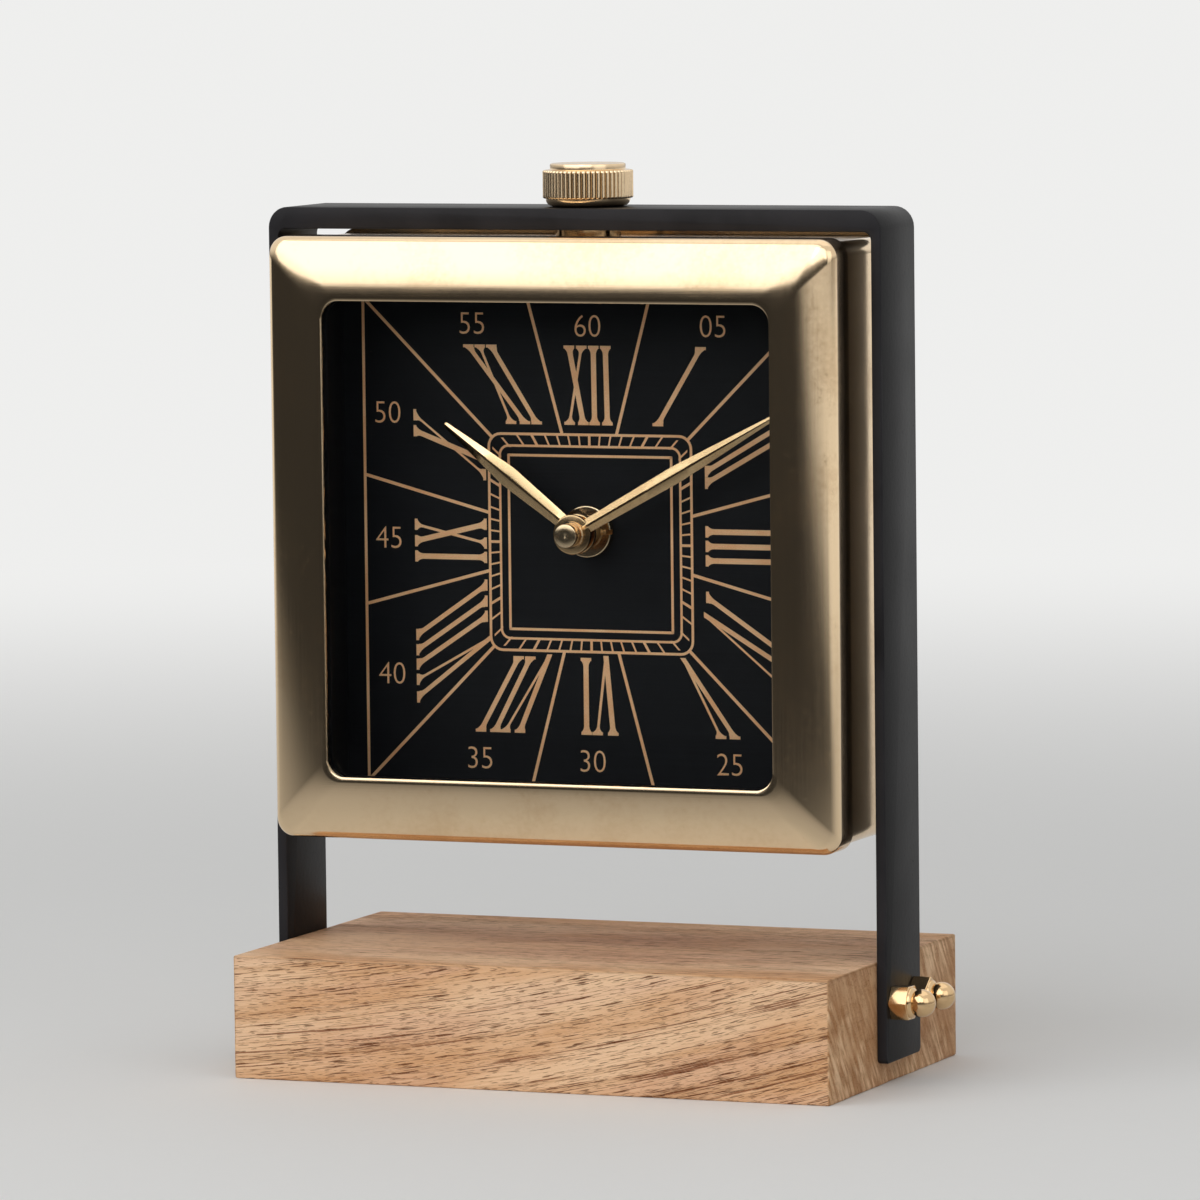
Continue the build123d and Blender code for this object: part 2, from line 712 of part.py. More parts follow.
# Rear cover of the movement: hollow posts for the wheels, pads for the stator and the board
stator_back = layer_back(intermediate_layer) + layer_gap + magnet_length / 2 + stator_thickness / 2
stator_front = stator_back - stator_thickness
coil_x = rotor_at[0] - coil_reach
coil_ends = [(coil_x, rotor_at[1] - stator_arm_spread), (coil_x, rotor_at[1] + stator_arm_spread)]
board_x = bay_inner - board_inset - board_width / 2
board_z = axis_lift + train_floor + board_inset + board_height / 2
board_pads = [(board_x - board_width / 3, board_z), (board_x + board_width / 3, board_z)]
board_back = stator_back
magnet_front = layer_back(intermediate_layer) + layer_gap
wheel_posts = [
    (third_at, layer_back(third_layer)),
    (seconds_at, layer_back(seconds_layer)),
    (intermediate_at, layer_back(intermediate_layer)),
    (rotor_at, magnet_front + magnet_length),
]
with BuildPart() as movement_cover:
    with BuildSketch(front_plane(movement_back)):
        with Locations((0, bay_top)):
            Rectangle(movement_width, movement_half - bay_top, align=(Align.CENTER, Align.MIN))
    extrude(amount=movement_wall)
    fillet(movement_cover.edges().filter_by(Axis.Y).group_by(Axis.Z)[-1], movement_corner)
    for at, wheel_back in wheel_posts:
        with BuildSketch(front_plane(cover_plate_front, at)):
            Circle(post_radius)
            Circle(train_arbor_radius + running_fit, mode=Mode.SUBTRACT)
        extrude(amount=cover_plate_front - wheel_back - end_float)
    for at in coil_ends + board_pads:
        with BuildSketch(front_plane(cover_plate_front, at)):
            Circle(post_radius)
        extrude(amount=cover_plate_front - stator_back)
    with BuildSketch(front_plane(movement_back, minute_wheel_at)):
        Circle(setting_arbor_radius + running_fit)
    extrude(amount=movement_wall, mode=Mode.SUBTRACT)
    with BuildSketch(front_plane(movement_back)):
        Circle(arbor_pivot_radius + running_fit)
    extrude(amount=movement_wall, mode=Mode.SUBTRACT)

# Motor: stator plate round the rotor, coil across its open side
with BuildPart() as stator:
    arm_outer = 2 * stator_arm_spread + stator_arm_width
    yoke = magnet_radius + stator_air_gap + stator_rim
    with BuildSketch(front_plane(stator_back, rotor_at)):
        Rectangle(
            coil_reach + stator_arm_width / 2,
            arm_outer,
            align=(Align.MAX, Align.CENTER),
        )
        Rectangle(
            coil_reach + stator_arm_width / 2,
            arm_outer - 2 * stator_arm_width,
            align=(Align.MAX, Align.CENTER),
            mode=Mode.SUBTRACT,
        )
        Rectangle(stator_arm_width, arm_outer, align=(Align.MAX, Align.CENTER))
        Circle(yoke)
        Circle(magnet_radius + stator_air_gap, mode=Mode.SUBTRACT)
    extrude(amount=stator_thickness)

coil_middle = Plane.XY.offset(case_centre + rotor_at[1])
coil_y = stator_front - coil_core_thickness / 2
with BuildPart() as coil_bobbin:
    with BuildSketch(coil_middle):
        with Locations((coil_x, coil_y)):
            Rectangle(coil_core_width, coil_core_thickness)
    extrude(amount=stator_arm_spread + stator_arm_width / 2, both=True)
    for end in (-1, 1):
        cheek = coil_middle.offset(end * coil_length / 2)
        with BuildSketch(cheek):
            with Locations((coil_x, coil_y)):
                Circle(coil_cheek_diameter / 2)
        extrude(amount=-end * coil_cheek_thickness)

with BuildPart() as coil_winding:
    with BuildSketch(coil_middle):
        with Locations((coil_x, coil_y)):
            Circle(coil_diameter / 2)
            Rectangle(
                coil_core_width + 2 * bore_fit,
                coil_core_thickness + 2 * bore_fit,
                mode=Mode.SUBTRACT,
            )
    extrude(amount=coil_length / 2 - coil_cheek_thickness - bore_fit, both=True)

with BuildPart() as rotor_magnet:
    with BuildSketch(front_plane(magnet_front + magnet_length, rotor_at)):
        Circle(magnet_radius)
        Circle(train_arbor_radius + bore_fit, mode=Mode.SUBTRACT)
    extrude(amount=magnet_length)

with BuildPart() as rotor_pinion:
    with BuildSketch(front_plane(magnet_front, rotor_at)):
        with BuildLine():
            Polyline(*gear_outline(train_pinion_teeth, train_module, rotor_pinion_turn), close=True)
        make_face()
    extrude(amount=wheel_thickness + layer_gap)
    with BuildSketch(front_plane(cover_plate_front - end_float, rotor_at)):
        Circle(train_arbor_radius)
    extrude(amount=cover_plate_front - end_float - magnet_front)

# Circuit board and its crystal
with BuildPart() as circuit_board:
    with BuildSketch(front_plane(board_back, (board_x, board_z))):
        Rectangle(board_width, board_height)
    extrude(amount=board_thickness)

with BuildPart() as quartz_crystal:
    crystal_y = board_back - board_thickness - bore_fit - crystal_diameter / 2
    with BuildSketch(Plane.YZ.offset(board_x - crystal_length / 2)):
        with Locations((crystal_y, case_centre + board_z)):
            Circle(crystal_diameter / 2)
    extrude(amount=crystal_length)

# Battery and its contacts
battery_axis = (battery_y, case_centre + axis_lift + battery_z)
with BuildPart() as battery:
    with BuildSketch(Plane.YZ.offset(battery_flat_x)):
        with Locations(battery_axis):
            Circle(battery_diameter / 2)
    extrude(amount=battery_length - battery_nub_length)
    with BuildSketch(Plane.YZ.offset(battery_flat_x)):
        with Locations(battery_axis):
            Circle(battery_nub_diameter / 2)
    extrude(amount=battery_length)

with BuildPart() as battery_contact_plus:
    with BuildSketch(Plane.YZ.offset(bay_inner)):
        with Locations(battery_axis):
            Rectangle(contact_width, contact_width)
    extrude(amount=-contact_thickness)
    with BuildSketch(Plane.YZ.offset(bay_inner - contact_thickness)):
        with Locations(battery_axis):
            Circle(battery_nub_diameter / 2)
    extrude(amount=-contact_boss)

with BuildPart() as battery_contact_minus:
    with BuildSketch(front_plane(battery_y, (-bay_inner, axis_lift + battery_z))):
        with BuildLine():
            Polyline(
                (0, -contact_width / 2),
                (spring_reach, 0),
                (0, contact_width / 2),
                (0, contact_width / 2 - 2 * contact_thickness),
                (spring_reach - 2 * contact_thickness, 0),
                (0, -contact_width / 2 + 2 * contact_thickness),
                close=True,
            )
        make_face()
    extrude(amount=contact_width / 2, both=True)

# Motion work and clutch
hour_hand_back = dial_front - hour_hand_stand
minute_hand_back = dial_front - minute_hand_stand
pipe_front = hour_hand_back - hub_thickness - pipe_proud
with BuildPart() as hour_wheel:
    with BuildSketch(front_plane(layer_back(hour_layer))):
        with BuildLine():
            Polyline(*gear_outline(hour_wheel_teeth, hour_module, hour_wheel_turn), close=True)
        make_face()
    extrude(amount=wheel_thickness)
    with BuildSketch(front_plane(layer_back(hour_layer))):
        Circle(pipe_radius)
    extrude(amount=layer_back(hour_layer) - pipe_front)
    with BuildSketch(front_plane(layer_back(hour_layer))):
        Circle(arbor_radius + running_fit)
    extrude(amount=layer_back(hour_layer) - pipe_front, mode=Mode.SUBTRACT)

knob_front = movement_back + setting_knob_standoff
minute_wheel = compound_wheel(
    minute_wheel_at,
    minute_layer,
    (minute_wheel_teeth, motion_module, minute_wheel_turn),
    (minute_pinion_teeth, hour_module, minute_pinion_turn),
    setting_arbor_radius,
    knob_front + setting_knob_height / 2,
)

with BuildPart() as setting_knob:
    knob_back = knob_front + setting_knob_height
    with BuildSketch(front_plane(knob_back, minute_wheel_at)):
        with BuildLine():
            Polyline(
                *knurl_outline(setting_knob_flute_count, setting_knob_diameter / 2, setting_knob_flute_depth),
                close=True,
            )
        make_face()
    extrude(amount=setting_knob_height)
    with BuildSketch(front_plane(knob_front, minute_wheel_at)):
        Circle(setting_arbor_radius + bore_fit)
    extrude(amount=-setting_knob_height / 2 - slip_fit, mode=Mode.SUBTRACT)

arbor_tip_front = minute_hand_back - hub_thickness - cap_thread_depth
with BuildPart() as minute_arbor:
    with BuildSketch(front_plane(layer_back(centre_layer) + layer_gap)):
        Circle(arbor_radius)
    extrude(amount=layer_back(centre_layer) + layer_gap - minute_hand_back)
    with BuildSketch(front_plane(minute_hand_back)):
        Circle(arbor_tip_radius)
    extrude(amount=minute_hand_back - arbor_tip_front)
    with BuildSketch(front_plane(layer_back(centre_layer) + layer_gap)):
        Circle(arbor_pivot_radius)
    extrude(amount=layer_back(centre_layer) + layer_gap - movement_back + movement_wall / 2)
    with BuildSketch(front_plane(layer_back(minute_layer))):
        with BuildLine():
            Polyline(*gear_outline(cannon_teeth, motion_module, cannon_turn), close=True)
        make_face()
    extrude(amount=wheel_thickness)

with BuildPart() as clutch_washer:
    with BuildSketch(front_plane(layer_back(centre_layer) - wheel_thickness - slip_fit)):
        Circle(2 * arbor_radius)
        Circle(arbor_radius + bore_fit, mode=Mode.SUBTRACT)
    extrude(amount=layer_gap - 2 * slip_fit)

# Going train, from the centre wheel back to the rotor
with BuildPart() as centre_wheel:
    with BuildSketch(front_plane(layer_back(centre_layer))):
        with BuildLine():
            Polyline(*gear_outline(centre_wheel_teeth, train_module, centre_wheel_turn), close=True)
        make_face()
        Circle(arbor_radius + running_fit, mode=Mode.SUBTRACT)
    extrude(amount=wheel_thickness)

third_wheel = compound_wheel(
    third_at,
    third_layer,
    (third_wheel_teeth, train_module, third_wheel_turn),
    (train_pinion_teeth, train_module, third_pinion_turn),
    train_arbor_radius,
    cover_plate_front - end_float,
)
seconds_wheel = compound_wheel(
    seconds_at,
    seconds_layer,
    (seconds_wheel_teeth, train_module, seconds_wheel_turn),
    (train_pinion_teeth, train_module, seconds_pinion_turn),
    train_arbor_radius,
    cover_plate_front - end_float,
)
intermediate_wheel = compound_wheel(
    intermediate_at,
    intermediate_layer,
    (intermediate_wheel_teeth, train_module, intermediate_wheel_turn),
    (intermediate_pinion_teeth, train_module, intermediate_pinion_turn),
    train_arbor_radius,
    cover_plate_front - end_float,
)


def lance_hand(back, angle, length, belly_width, bore_radius):
    """A lance-shaped hand with two bevels, a narrow flat crest and a round hub."""
    along = Vector(sin(radians(angle)), 0, cos(radians(angle)))
    across = Vector(-cos(radians(angle)), 0, sin(radians(angle)))
    hub = Vector(0, back, case_centre + axis_lift)
    stations = ((0.0, hand_root_width), (belly_share, belly_width), (1.0, hand_tip_width))
    with BuildPart() as hand:
        for share, width in stations:
            half = width / 2
            flat = hand_flat_share * half
            crest = hand_edge + hand_ridge * min(width / hand_root_width, 1)
            with BuildSketch(Plane(origin=hub + along * (share * length), x_dir=across, z_dir=along)):
                with BuildLine():
                    Polyline(
                        (-half, 0),
                        (half, 0),
                        (half, hand_edge),
                        (flat, crest),
                        (-flat, crest),
                        (-half, hand_edge),
                        close=True,
                    )
                make_face()
        loft(ruled=True)
        with BuildSketch(front_plane(back)):
            Circle(hub_radius)
        extrude(amount=hub_thickness)
        with BuildSketch(front_plane(back)):
            Circle(bore_radius)
        extrude(amount=2 * hub_thickness, mode=Mode.SUBTRACT)
    return hand


hour_hand = lance_hand(
    hour_hand_back, hour_hand_angle, hour_hand_length, hour_hand_belly, pipe_radius + bore_fit
)
minute_hand = lance_hand(
    minute_hand_back, minute_hand_angle, minute_hand_length, minute_hand_belly, arbor_tip_radius + bore_fit
)

# Cap nut that clamps the minute hand
cap_back = minute_hand_back - hub_thickness - slip_fit
with BuildPart() as hand_nut:
    with BuildSketch(front_plane(cap_back)):
        Circle(cap_diameter / 2)
    extrude(amount=cap_length)
    chamfer(hand_nut.faces().sort_by(Axis.Y)[0].edges(), cap_end_chamfer)
    with BuildSketch(front_plane(cap_back)):
        Circle(cap_collar_diameter / 2)
    extrude(amount=cap_collar_length)
    with BuildSketch(front_plane(cap_back)):
        Circle(arbor_tip_radius + bore_fit)
    extrude(amount=cap_thread_depth, mode=Mode.SUBTRACT)

pieces = {
    "wood_base": wood_base,
    "strap_frame": strap_frame,
    "base_studs": base_studs,
    "acorn_nuts": acorn_nuts,
    "case_shell": case_shell,
    "bezel": bezel,
    "back_cover": back_cover,
    "case_rails": case_rails,
    "back_screws": back_screws,
    "case_bolt": case_bolt,
    "bolt_washer": bolt_washer,
    "case_spacer": case_spacer,
    "crown_knob": crown_knob,
    "glass_pane": glass_pane,
    "dial_surround": dial_surround,
    "dial_plate": dial_plate,
    "centre_bush": centre_bush,
    "rubber_washer": rubber_washer,
    "dial_washer": dial_washer,
    "bush_nut": bush_nut,
    "movement_housing": movement_housing,
    "movement_cover": movement_cover,
    "stator": stator,
    "coil_bobbin": coil_bobbin,
    "coil_winding": coil_winding,
    "rotor_magnet": rotor_magnet,
    "rotor_pinion": rotor_pinion,
    "circuit_board": circuit_board,
    "quartz_crystal": quartz_crystal,
    "battery": battery,
    "battery_contact_plus": battery_contact_plus,
    "battery_contact_minus": battery_contact_minus,
    "hour_wheel": hour_wheel,
    "minute_wheel": minute_wheel,
    "setting_knob": setting_knob,
    "minute_arbor": minute_arbor,
    "clutch_washer": clutch_washer,
    "centre_wheel": centre_wheel,
    "third_wheel": third_wheel,
    "seconds_wheel": seconds_wheel,
    "intermediate_wheel": intermediate_wheel,
    "hour_hand": hour_hand,
    "minute_hand": minute_hand,
    "hand_nut": hand_nut,
}
for name, piece in pieces.items():
    piece.part.label = name
    export_step(piece.part, f"parts/{name}.step")
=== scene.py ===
"""Dresses the wooden desk clock and stands it in a pale studio.

Lengths are metres in the clock's own frame: +X to the right, +Y to the back, +Z up, floor at zero.
"""

import logging
import math
from dataclasses import dataclass
from enum import Enum

import bmesh
import bpy
from mathutils import Matrix, Vector, noise


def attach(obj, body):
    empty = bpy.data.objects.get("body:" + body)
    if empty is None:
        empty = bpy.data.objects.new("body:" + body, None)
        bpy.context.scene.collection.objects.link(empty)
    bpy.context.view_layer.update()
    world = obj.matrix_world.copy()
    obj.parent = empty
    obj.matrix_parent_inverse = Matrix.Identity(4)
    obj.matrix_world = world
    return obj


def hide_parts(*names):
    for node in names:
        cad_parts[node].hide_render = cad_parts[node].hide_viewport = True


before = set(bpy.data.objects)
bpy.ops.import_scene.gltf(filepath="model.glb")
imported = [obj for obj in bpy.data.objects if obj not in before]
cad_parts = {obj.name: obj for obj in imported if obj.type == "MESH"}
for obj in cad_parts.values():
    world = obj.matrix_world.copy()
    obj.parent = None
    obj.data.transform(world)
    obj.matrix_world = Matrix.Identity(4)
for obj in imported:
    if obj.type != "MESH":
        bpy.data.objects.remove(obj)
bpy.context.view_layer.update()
MM = 0.001
NEAR = 0.001 * MM
MERGE = 0.0001 * MM
LOG = logging.getLogger("desk_clock")
Colour = tuple[float, float, float, float]
Triple = tuple[float, float, float]


def tint(code: str) -> Colour:
    """Turns a six-digit web colour into a linear one.

    Args:
        code: The colour as six hexadecimal digits.

    Returns:
        The linear red, green, blue and an alpha of one.
    """
    parts = [int(code[at : at + 2], 16) / 255 for at in (0, 2, 4)]
    linear = [part / 12.92 if part <= 0.04045 else ((part + 0.055) / 1.055) ** 2.4 for part in parts]
    return (linear[0], linear[1], linear[2], 1.0)


class Signal:
    """A node's output whose arithmetic adds Math nodes to its graph."""

    def __init__(self, graph: "Graph", socket: bpy.types.NodeSocket | None) -> None:
        """Keeps the graph and the output socket."""
        self.graph = graph
        self.socket = socket

    def math(self, operation: str, *terms: "Signal | float") -> "Signal":
        """Adds one Math node.

        Args:
            operation: The Math node's operation.
            terms: The values of its sockets in order.

        Returns:
            The result.
        """
        return self.graph.node("ShaderNodeMath", {"operation": operation}, dict(enumerate(terms)))

    def __add__(self, other: "Signal | float") -> "Signal":
        """Sum."""
        return self.math("ADD", self, other)

    def __radd__(self, other: float) -> "Signal":
        """Sum with a number first."""
        return self.math("ADD", other, self)

    def __sub__(self, other: "Signal | float") -> "Signal":
        """Difference."""
        return self.math("SUBTRACT", self, other)

    def __rsub__(self, other: float) -> "Signal":
        """Difference with a number first."""
        return self.math("SUBTRACT", other, self)

    def __mul__(self, other: "Signal | float") -> "Signal":
        """Product."""
        return self.math("MULTIPLY", self, other)

    def __rmul__(self, other: float) -> "Signal":
        """Product with a number first."""
        return self.math("MULTIPLY", other, self)

    def __pow__(self, other: float) -> "Signal":
        """Power."""
        return self.math("POWER", self, other)

    def __abs__(self) -> "Signal":
        """Size without sign."""
        return self.math("ABSOLUTE", self)

    def larger(self, other: "Signal | float") -> "Signal":
        """The larger of two values."""
        return self.math("MAXIMUM", self, other)


class Graph:
    """The node tree of one material or of the world."""

    def __init__(self, tree: bpy.types.NodeTree) -> None:
        """Keeps the tree and empties it."""
        self.tree = tree
        tree.nodes.clear()

    def node(
        self,
        kind: str,
        settings: dict[str, object] | None = None,
        inputs: dict[str | int, object] | None = None,
        output: str | int = 0,
    ) -> Signal:
        """Adds any node.

        Args:
            kind: The node's type.
            settings: Its own settings, set first.
            inputs: Values or links of its sockets.
            output: The output to hand back.

        Returns:
            The chosen output, or an empty one for a node without outputs.
        """
        made = self.tree.nodes.new(kind)
        for name, value in (settings or {}).items():
            setattr(made, name, value)
        for name, value in (inputs or {}).items():
            if isinstance(value, Signal):
                self.tree.links.new(value.socket, made.inputs[name])
            else:
                made.inputs[name].default_value = value
        return Signal(self, made.outputs[output] if len(made.outputs) else None)

    def spot(self, stretch: Triple = (1, 1, 1), shift: Triple = (0, 0, 0)) -> Signal:
        """Object coordinates in millimetres, shifted, then stretched.

        Args:
            stretch: Factors along the three axes.
            shift: What is added first, in millimetres.

        Returns:
            The coordinates.
        """
        place = self.node("ShaderNodeTexCoord", output="Object")
        return self.laid(self.laid(place, (1 / MM,) * 3, shift), stretch)

    def split(self, vector: Signal) -> tuple[Signal, Signal, Signal]:
        """The three numbers of a vector.

        Args:
            vector: What is taken apart.

        Returns:
            The numbers along X, Y and Z.
        """
        parts = self.node("ShaderNodeSeparateXYZ", inputs={"Vector": vector})
        sockets = parts.socket.node.outputs
        return Signal(self, sockets[0]), Signal(self, sockets[1]), Signal(self, sockets[2])

    def join(self, *parts: Signal | float) -> Signal:
        """A vector of up to three numbers."""
        return self.node("ShaderNodeCombineXYZ", inputs=dict(enumerate(parts)))

    def laid(self, vector: Signal, stretch: Triple, shift: Triple = (0, 0, 0)) -> Signal:
        """A vector that is stretched, then shifted."""
        inputs = {"Vector": vector, "Scale": stretch, "Location": shift}
        return self.node("ShaderNodeMapping", inputs=inputs)

    def noise(self, vector: Signal, size: float = 1.0, detail: float = 3.0, rough: float = 0.5) -> Signal:
        """Soft noise.

        Args:
            vector: Where it is read.
            size: Size of its lumps in the vector's own unit.
            detail: How many finer layers it has.
            rough: How strong the finer layers are.

        Returns:
            A value about one half.
        """
        return self.node(
            "ShaderNodeTexNoise",
            inputs={"Vector": vector, "Scale": 1 / size, "Detail": detail, "Roughness": rough},
        )

    def fade(self, value: Signal, low: float, high: float, start: float = 0.0, end: float = 1.0) -> Signal:
        """Maps a value smoothly from one range to another.

        Args:
            value: What is mapped.
            low: Where the start value holds.
            high: Where the end value holds.
            start: Result at low.
            end: Result at high.

        Returns:
            The mapped value.
        """
        return self.node(
            "ShaderNodeMapRange",
            {"interpolation_type": "SMOOTHSTEP"},
            {0: value, 1: low, 2: high, 3: start, 4: end},
        )

    def mix(self, share: Signal | float, first: Signal | Colour, second: Signal | Colour) -> Signal:
        """Mixes two colours.

        Args:
            share: How much of the second colour shows.
            first: The colour underneath.
            second: The colour on top.

        Returns:
            The mixed colour.
        """
        return self.node("ShaderNodeMix", {"data_type": "RGBA"}, {0: share, 6: first, 7: second}, 2)

    def bump(self, height: Signal, depth: float, under: Signal | None = None) -> Signal:
        """Turns a height into a bent normal.

        Args:
            height: The height, zero to one.
            depth: What one means, in millimetres.
            under: A normal that is already bent.

        Returns:
            The normal.
        """
        inputs: dict[str | int, object] = {"Height": height, "Distance": depth * MM, "Strength": 1.0}
        if under is not None:
            inputs["Normal"] = under
        return self.node("ShaderNodeBump", inputs=inputs)

    def shader(self, **sockets: object) -> Signal:
        """A Principled shader with its sockets named in words joined by underscores."""
        inputs = {name.replace("_", " "): value for name, value in sockets.items()}
        return self.node("ShaderNodeBsdfPrincipled", inputs=inputs)

    def show(self, surface: Signal, kind: str = "ShaderNodeOutputMaterial") -> None:
        """Ends the graph in its output."""
        self.node(kind, inputs={"Surface": surface})


@dataclass(frozen=True)
class Finish:
    """A surface finish that becomes one material."""

    name: str

    def material(self) -> bpy.types.Material:
        """The finish's material, made at its first use.

        Returns:
            The material.
        """
        made = bpy.data.materials.get(self.name)
        if made is None:
            made = bpy.data.materials.new(self.name)
            made.use_nodes = True
            self.paint(Graph(made.node_tree))
        return made

    def paint(self, graph: Graph) -> None:
        """Fills the material's graph."""
        raise NotImplementedError


class Polish(Enum):
    """The way in which a brass surface was rubbed."""

    FRAMED = "along the sides of the square case"
    ALONG = "along the piece"
    TURNED = "round the dial's axis"


@dataclass(frozen=True)
class PolishedBrass(Finish):
    """Pale polished brass with rubbing marks and a faint tarnish."""

    polish: Polish = Polish.ALONG
    bright: str = "F1D6B0"
    dull: str = "C79C68"
    roughness: float = 0.1
    marks: float = 0.0012
    wave: float = 0.02
    centre: float = 130.5
    dark_tone: str = "4A3216"

    def paint(self, graph: Graph) -> None:
        """Rubbing lines, soft waves, tarnish and darkening over metal.

        Args:
            graph: The material's graph.
        """
        spot = graph.spot(shift=(0, 0, -self.centre))
        lines = self._rubbing(graph, spot)
        cloud = graph.noise(spot, size=22, detail=4)
        specks = graph.noise(spot, size=1.7, detail=3, rough=0.65)
        tarnish = graph.fade(cloud * 0.7 + specks * 0.3, 0.42, 0.7)
        colour = graph.mix(tarnish * 0.3, tint(self.bright), tint(self.dull))
        # Mixed towards the dark tone in the knurl's grooves, darker there; a plain surface gets none of it.
        colour = graph.mix(self.darkening(graph), colour, tint(self.dark_tone))
        stain = 0.04 * tarnish + graph.fade(specks, 0.62, 0.8) * 0.06
        rough = self.roughness + 0.08 * (lines - 0.5) + stain
        soft = graph.bump(graph.noise(spot, size=26, detail=1), self.wave)
        normal = graph.bump(lines, self.marks, soft)
        graph.show(graph.shader(Base_Color=colour, Roughness=rough, Metallic=1.0, Normal=normal))

    def _rubbing(self, graph: Graph, spot: Signal) -> Signal:
        """Fine lines along the way in which the piece was rubbed.

        Args:
            graph: The material's graph.
            spot: The place, from the middle of the case.

        Returns:
            The lines' height, about one half.
        """
        along, _, up = graph.split(spot)
        if self.polish is Polish.FRAMED:
            flat = graph.noise(graph.spot(stretch=(0.03, 3, 6)), detail=2)
            upright = graph.noise(graph.spot(stretch=(6, 3, 0.03)), detail=2)
            sideways = graph.fade(abs(along) - abs(up), -0.5, 0.5)
            return flat * (1 - sideways) + upright * sideways
        if self.polish is Polish.TURNED:
            return graph.noise(graph.join((along**2.0 + up**2.0) ** 0.5 * 6.0), detail=2)
        return graph.noise(graph.spot(stretch=(0.6, 3, 3)), detail=2)

    def darkening(self, graph: Graph) -> Signal | float:
        """How much the colour is darkened where, none on a plain surface."""
        return 0.0


@dataclass(frozen=True)
class KnurledBrass(PolishedBrass):
    """Brass that is darker in the grooves of a knurled band about the Z axis."""

    crest: float = 10.72
    root: float = 10.48
    low: float = 212.4
    high: float = 218.9
    blur: float = 0.2
    amount: float = 0.7

    def darkening(self, graph: Graph) -> Signal | float:
        """Darker below the ribs' crests, within the band.

        Args:
            graph: The material's graph.

        Returns:
            The share of the dark tone.
        """
        along, deep, up = graph.split(graph.spot())
        radius = (along**2.0 + deep**2.0) ** 0.5
        above = graph.fade(up, self.low - self.blur, self.low)
        below = graph.fade(up, self.high + self.blur, self.high)
        return graph.fade(radius, self.crest, self.root) * above * below * self.amount


@dataclass(frozen=True)
class OpenGrainWood(Finish):
    """Light open-grained hardwood whose fibres climb from left to right."""

    climb: float = 0.19
    curl: float = 0.0006
    half_width: float = 77.0
    half_depth: float = 45.0
    top: float = 30.0
    heart: str = "DFAD80"
    sap: str = "F6D0A9"
    rosy: str = "E6BA9B"
    growth: str = "BC8757"
    strand: str = "A06A3F"
    fleck: str = "F5D4AF"
    vein: str = "7A4123"
    vessel: str = "63341A"
    pit: str = "7C4A28"
    sawn: str = "F0CBAA"
    cut_dark: str = "AC784A"
    cut_pale: str = "FAD6AC"
    gloss: float = 0.07

    def paint(self, graph: Graph) -> None:
        """Growth bands, pores, fibres, saw marks and end grain.

        Args:
            graph: The material's graph.
        """
        along, deep, up = graph.split(graph.spot())
        side = graph.fade(up, self.top - 0.2, self.top - 0.7)
        grain = graph.join(along, deep, up - (along * self.climb + along * along * self.curl) * side)
        zone = graph.noise(graph.laid(grain, (0.012, 0.04, 0.07)), detail=3)
        blush = graph.noise(graph.laid(grain, (0.02, 0.06, 0.12), (41, 7, 3)), detail=2)
        band = graph.noise(graph.laid(grain, (0.005, 0.08, 0.3), (5, 2, 9)), detail=2)
        fibre = graph.noise(graph.laid(grain, (0.05, 2.4, 3.0)), detail=4, rough=0.65)
        colour = graph.mix(graph.fade(zone, 0.36, 0.64), tint(self.heart), tint(self.sap))
        colour = graph.mix(graph.fade(blush, 0.44, 0.66) * 0.45, colour, tint(self.rosy))
        colour = graph.mix(graph.fade(band, 0.52, 0.72) * 0.4, colour, tint(self.growth))
        colour = graph.mix(graph.fade(fibre, 0.48, 0.72) * 0.5, colour, tint(self.strand))
        colour = graph.mix(graph.fade(fibre, 0.46, 0.28) * 0.6, colour, tint(self.fleck))
        thread = graph.noise(graph.laid(grain, (0.028, 1.9, 2.3), (8, 1, 4)), detail=1)
        long_pore = graph.noise(graph.laid(grain, (0.11, 2.2, 2.9)), detail=1)
        short_pore = graph.noise(graph.laid(grain, (0.3, 4.2, 5.2), (3, 9, 5)), detail=1)
        packed = (band - 0.5) * 0.2 + (blush - 0.5) * 0.12
        line = graph.fade(thread + packed, 0.66, 0.7)
        pore = graph.fade(long_pore + packed, 0.64, 0.675)
        fine = graph.fade(short_pore + packed, 0.605, 0.655)
        colour = graph.mix(line * 0.75, colour, tint(self.vein))
        colour = graph.mix(pore * 0.9, colour, tint(self.vessel))
        colour = graph.mix(fine * 0.65, colour, tint(self.pit))
        face = graph.fade(abs(deep), self.half_depth - 0.6, self.half_depth - 0.2)
        saw = graph.noise(graph.join(along * 1.6 + up * 1.6, along * 0.14 - up * 0.14), detail=2)
        ridge = graph.fade(saw, 0.45, 0.75) * face
        colour = graph.mix(ridge * 0.16, colour, tint(self.sawn))
        end = graph.fade(abs(along), self.half_width - 0.6, self.half_width - 0.2)
        colour = graph.mix(end * 0.75, colour, self._end_grain(graph, deep, up))
        rough = 0.54 + 0.12 * (fibre - 0.5) + 0.2 * pore
        hollow = graph.bump(1 - pore.larger(fine * 0.6), 0.12)
        normal = graph.bump(fibre * 0.6 + ridge * 0.4, 0.05, hollow)
        graph.show(
            graph.shader(Base_Color=colour, Roughness=rough, Normal=normal, Specular_IOR_Level=self.gloss)
        )

    def _end_grain(self, graph: Graph, deep: Signal, up: Signal) -> Signal:
        """Colour of the fibres cut across, in leaning streaks that come and go.

        Args:
            graph: The material's graph.
            deep: Place along Y.
            up: Place along Z.

        Returns:
            The colour.
        """
        lean = graph.join(deep * 0.5 + up * 0.34, deep * 0.05 - up * 0.07)
        streak = graph.noise(lean, detail=5, rough=0.6)
        patch = graph.fade(graph.noise(graph.spot(), size=14, detail=2), 0.4, 0.6, 0.3, 1.0)
        share = graph.fade(streak, 0.36, 0.64) * patch
        return graph.mix(share, tint(self.cut_dark), tint(self.cut_pale))


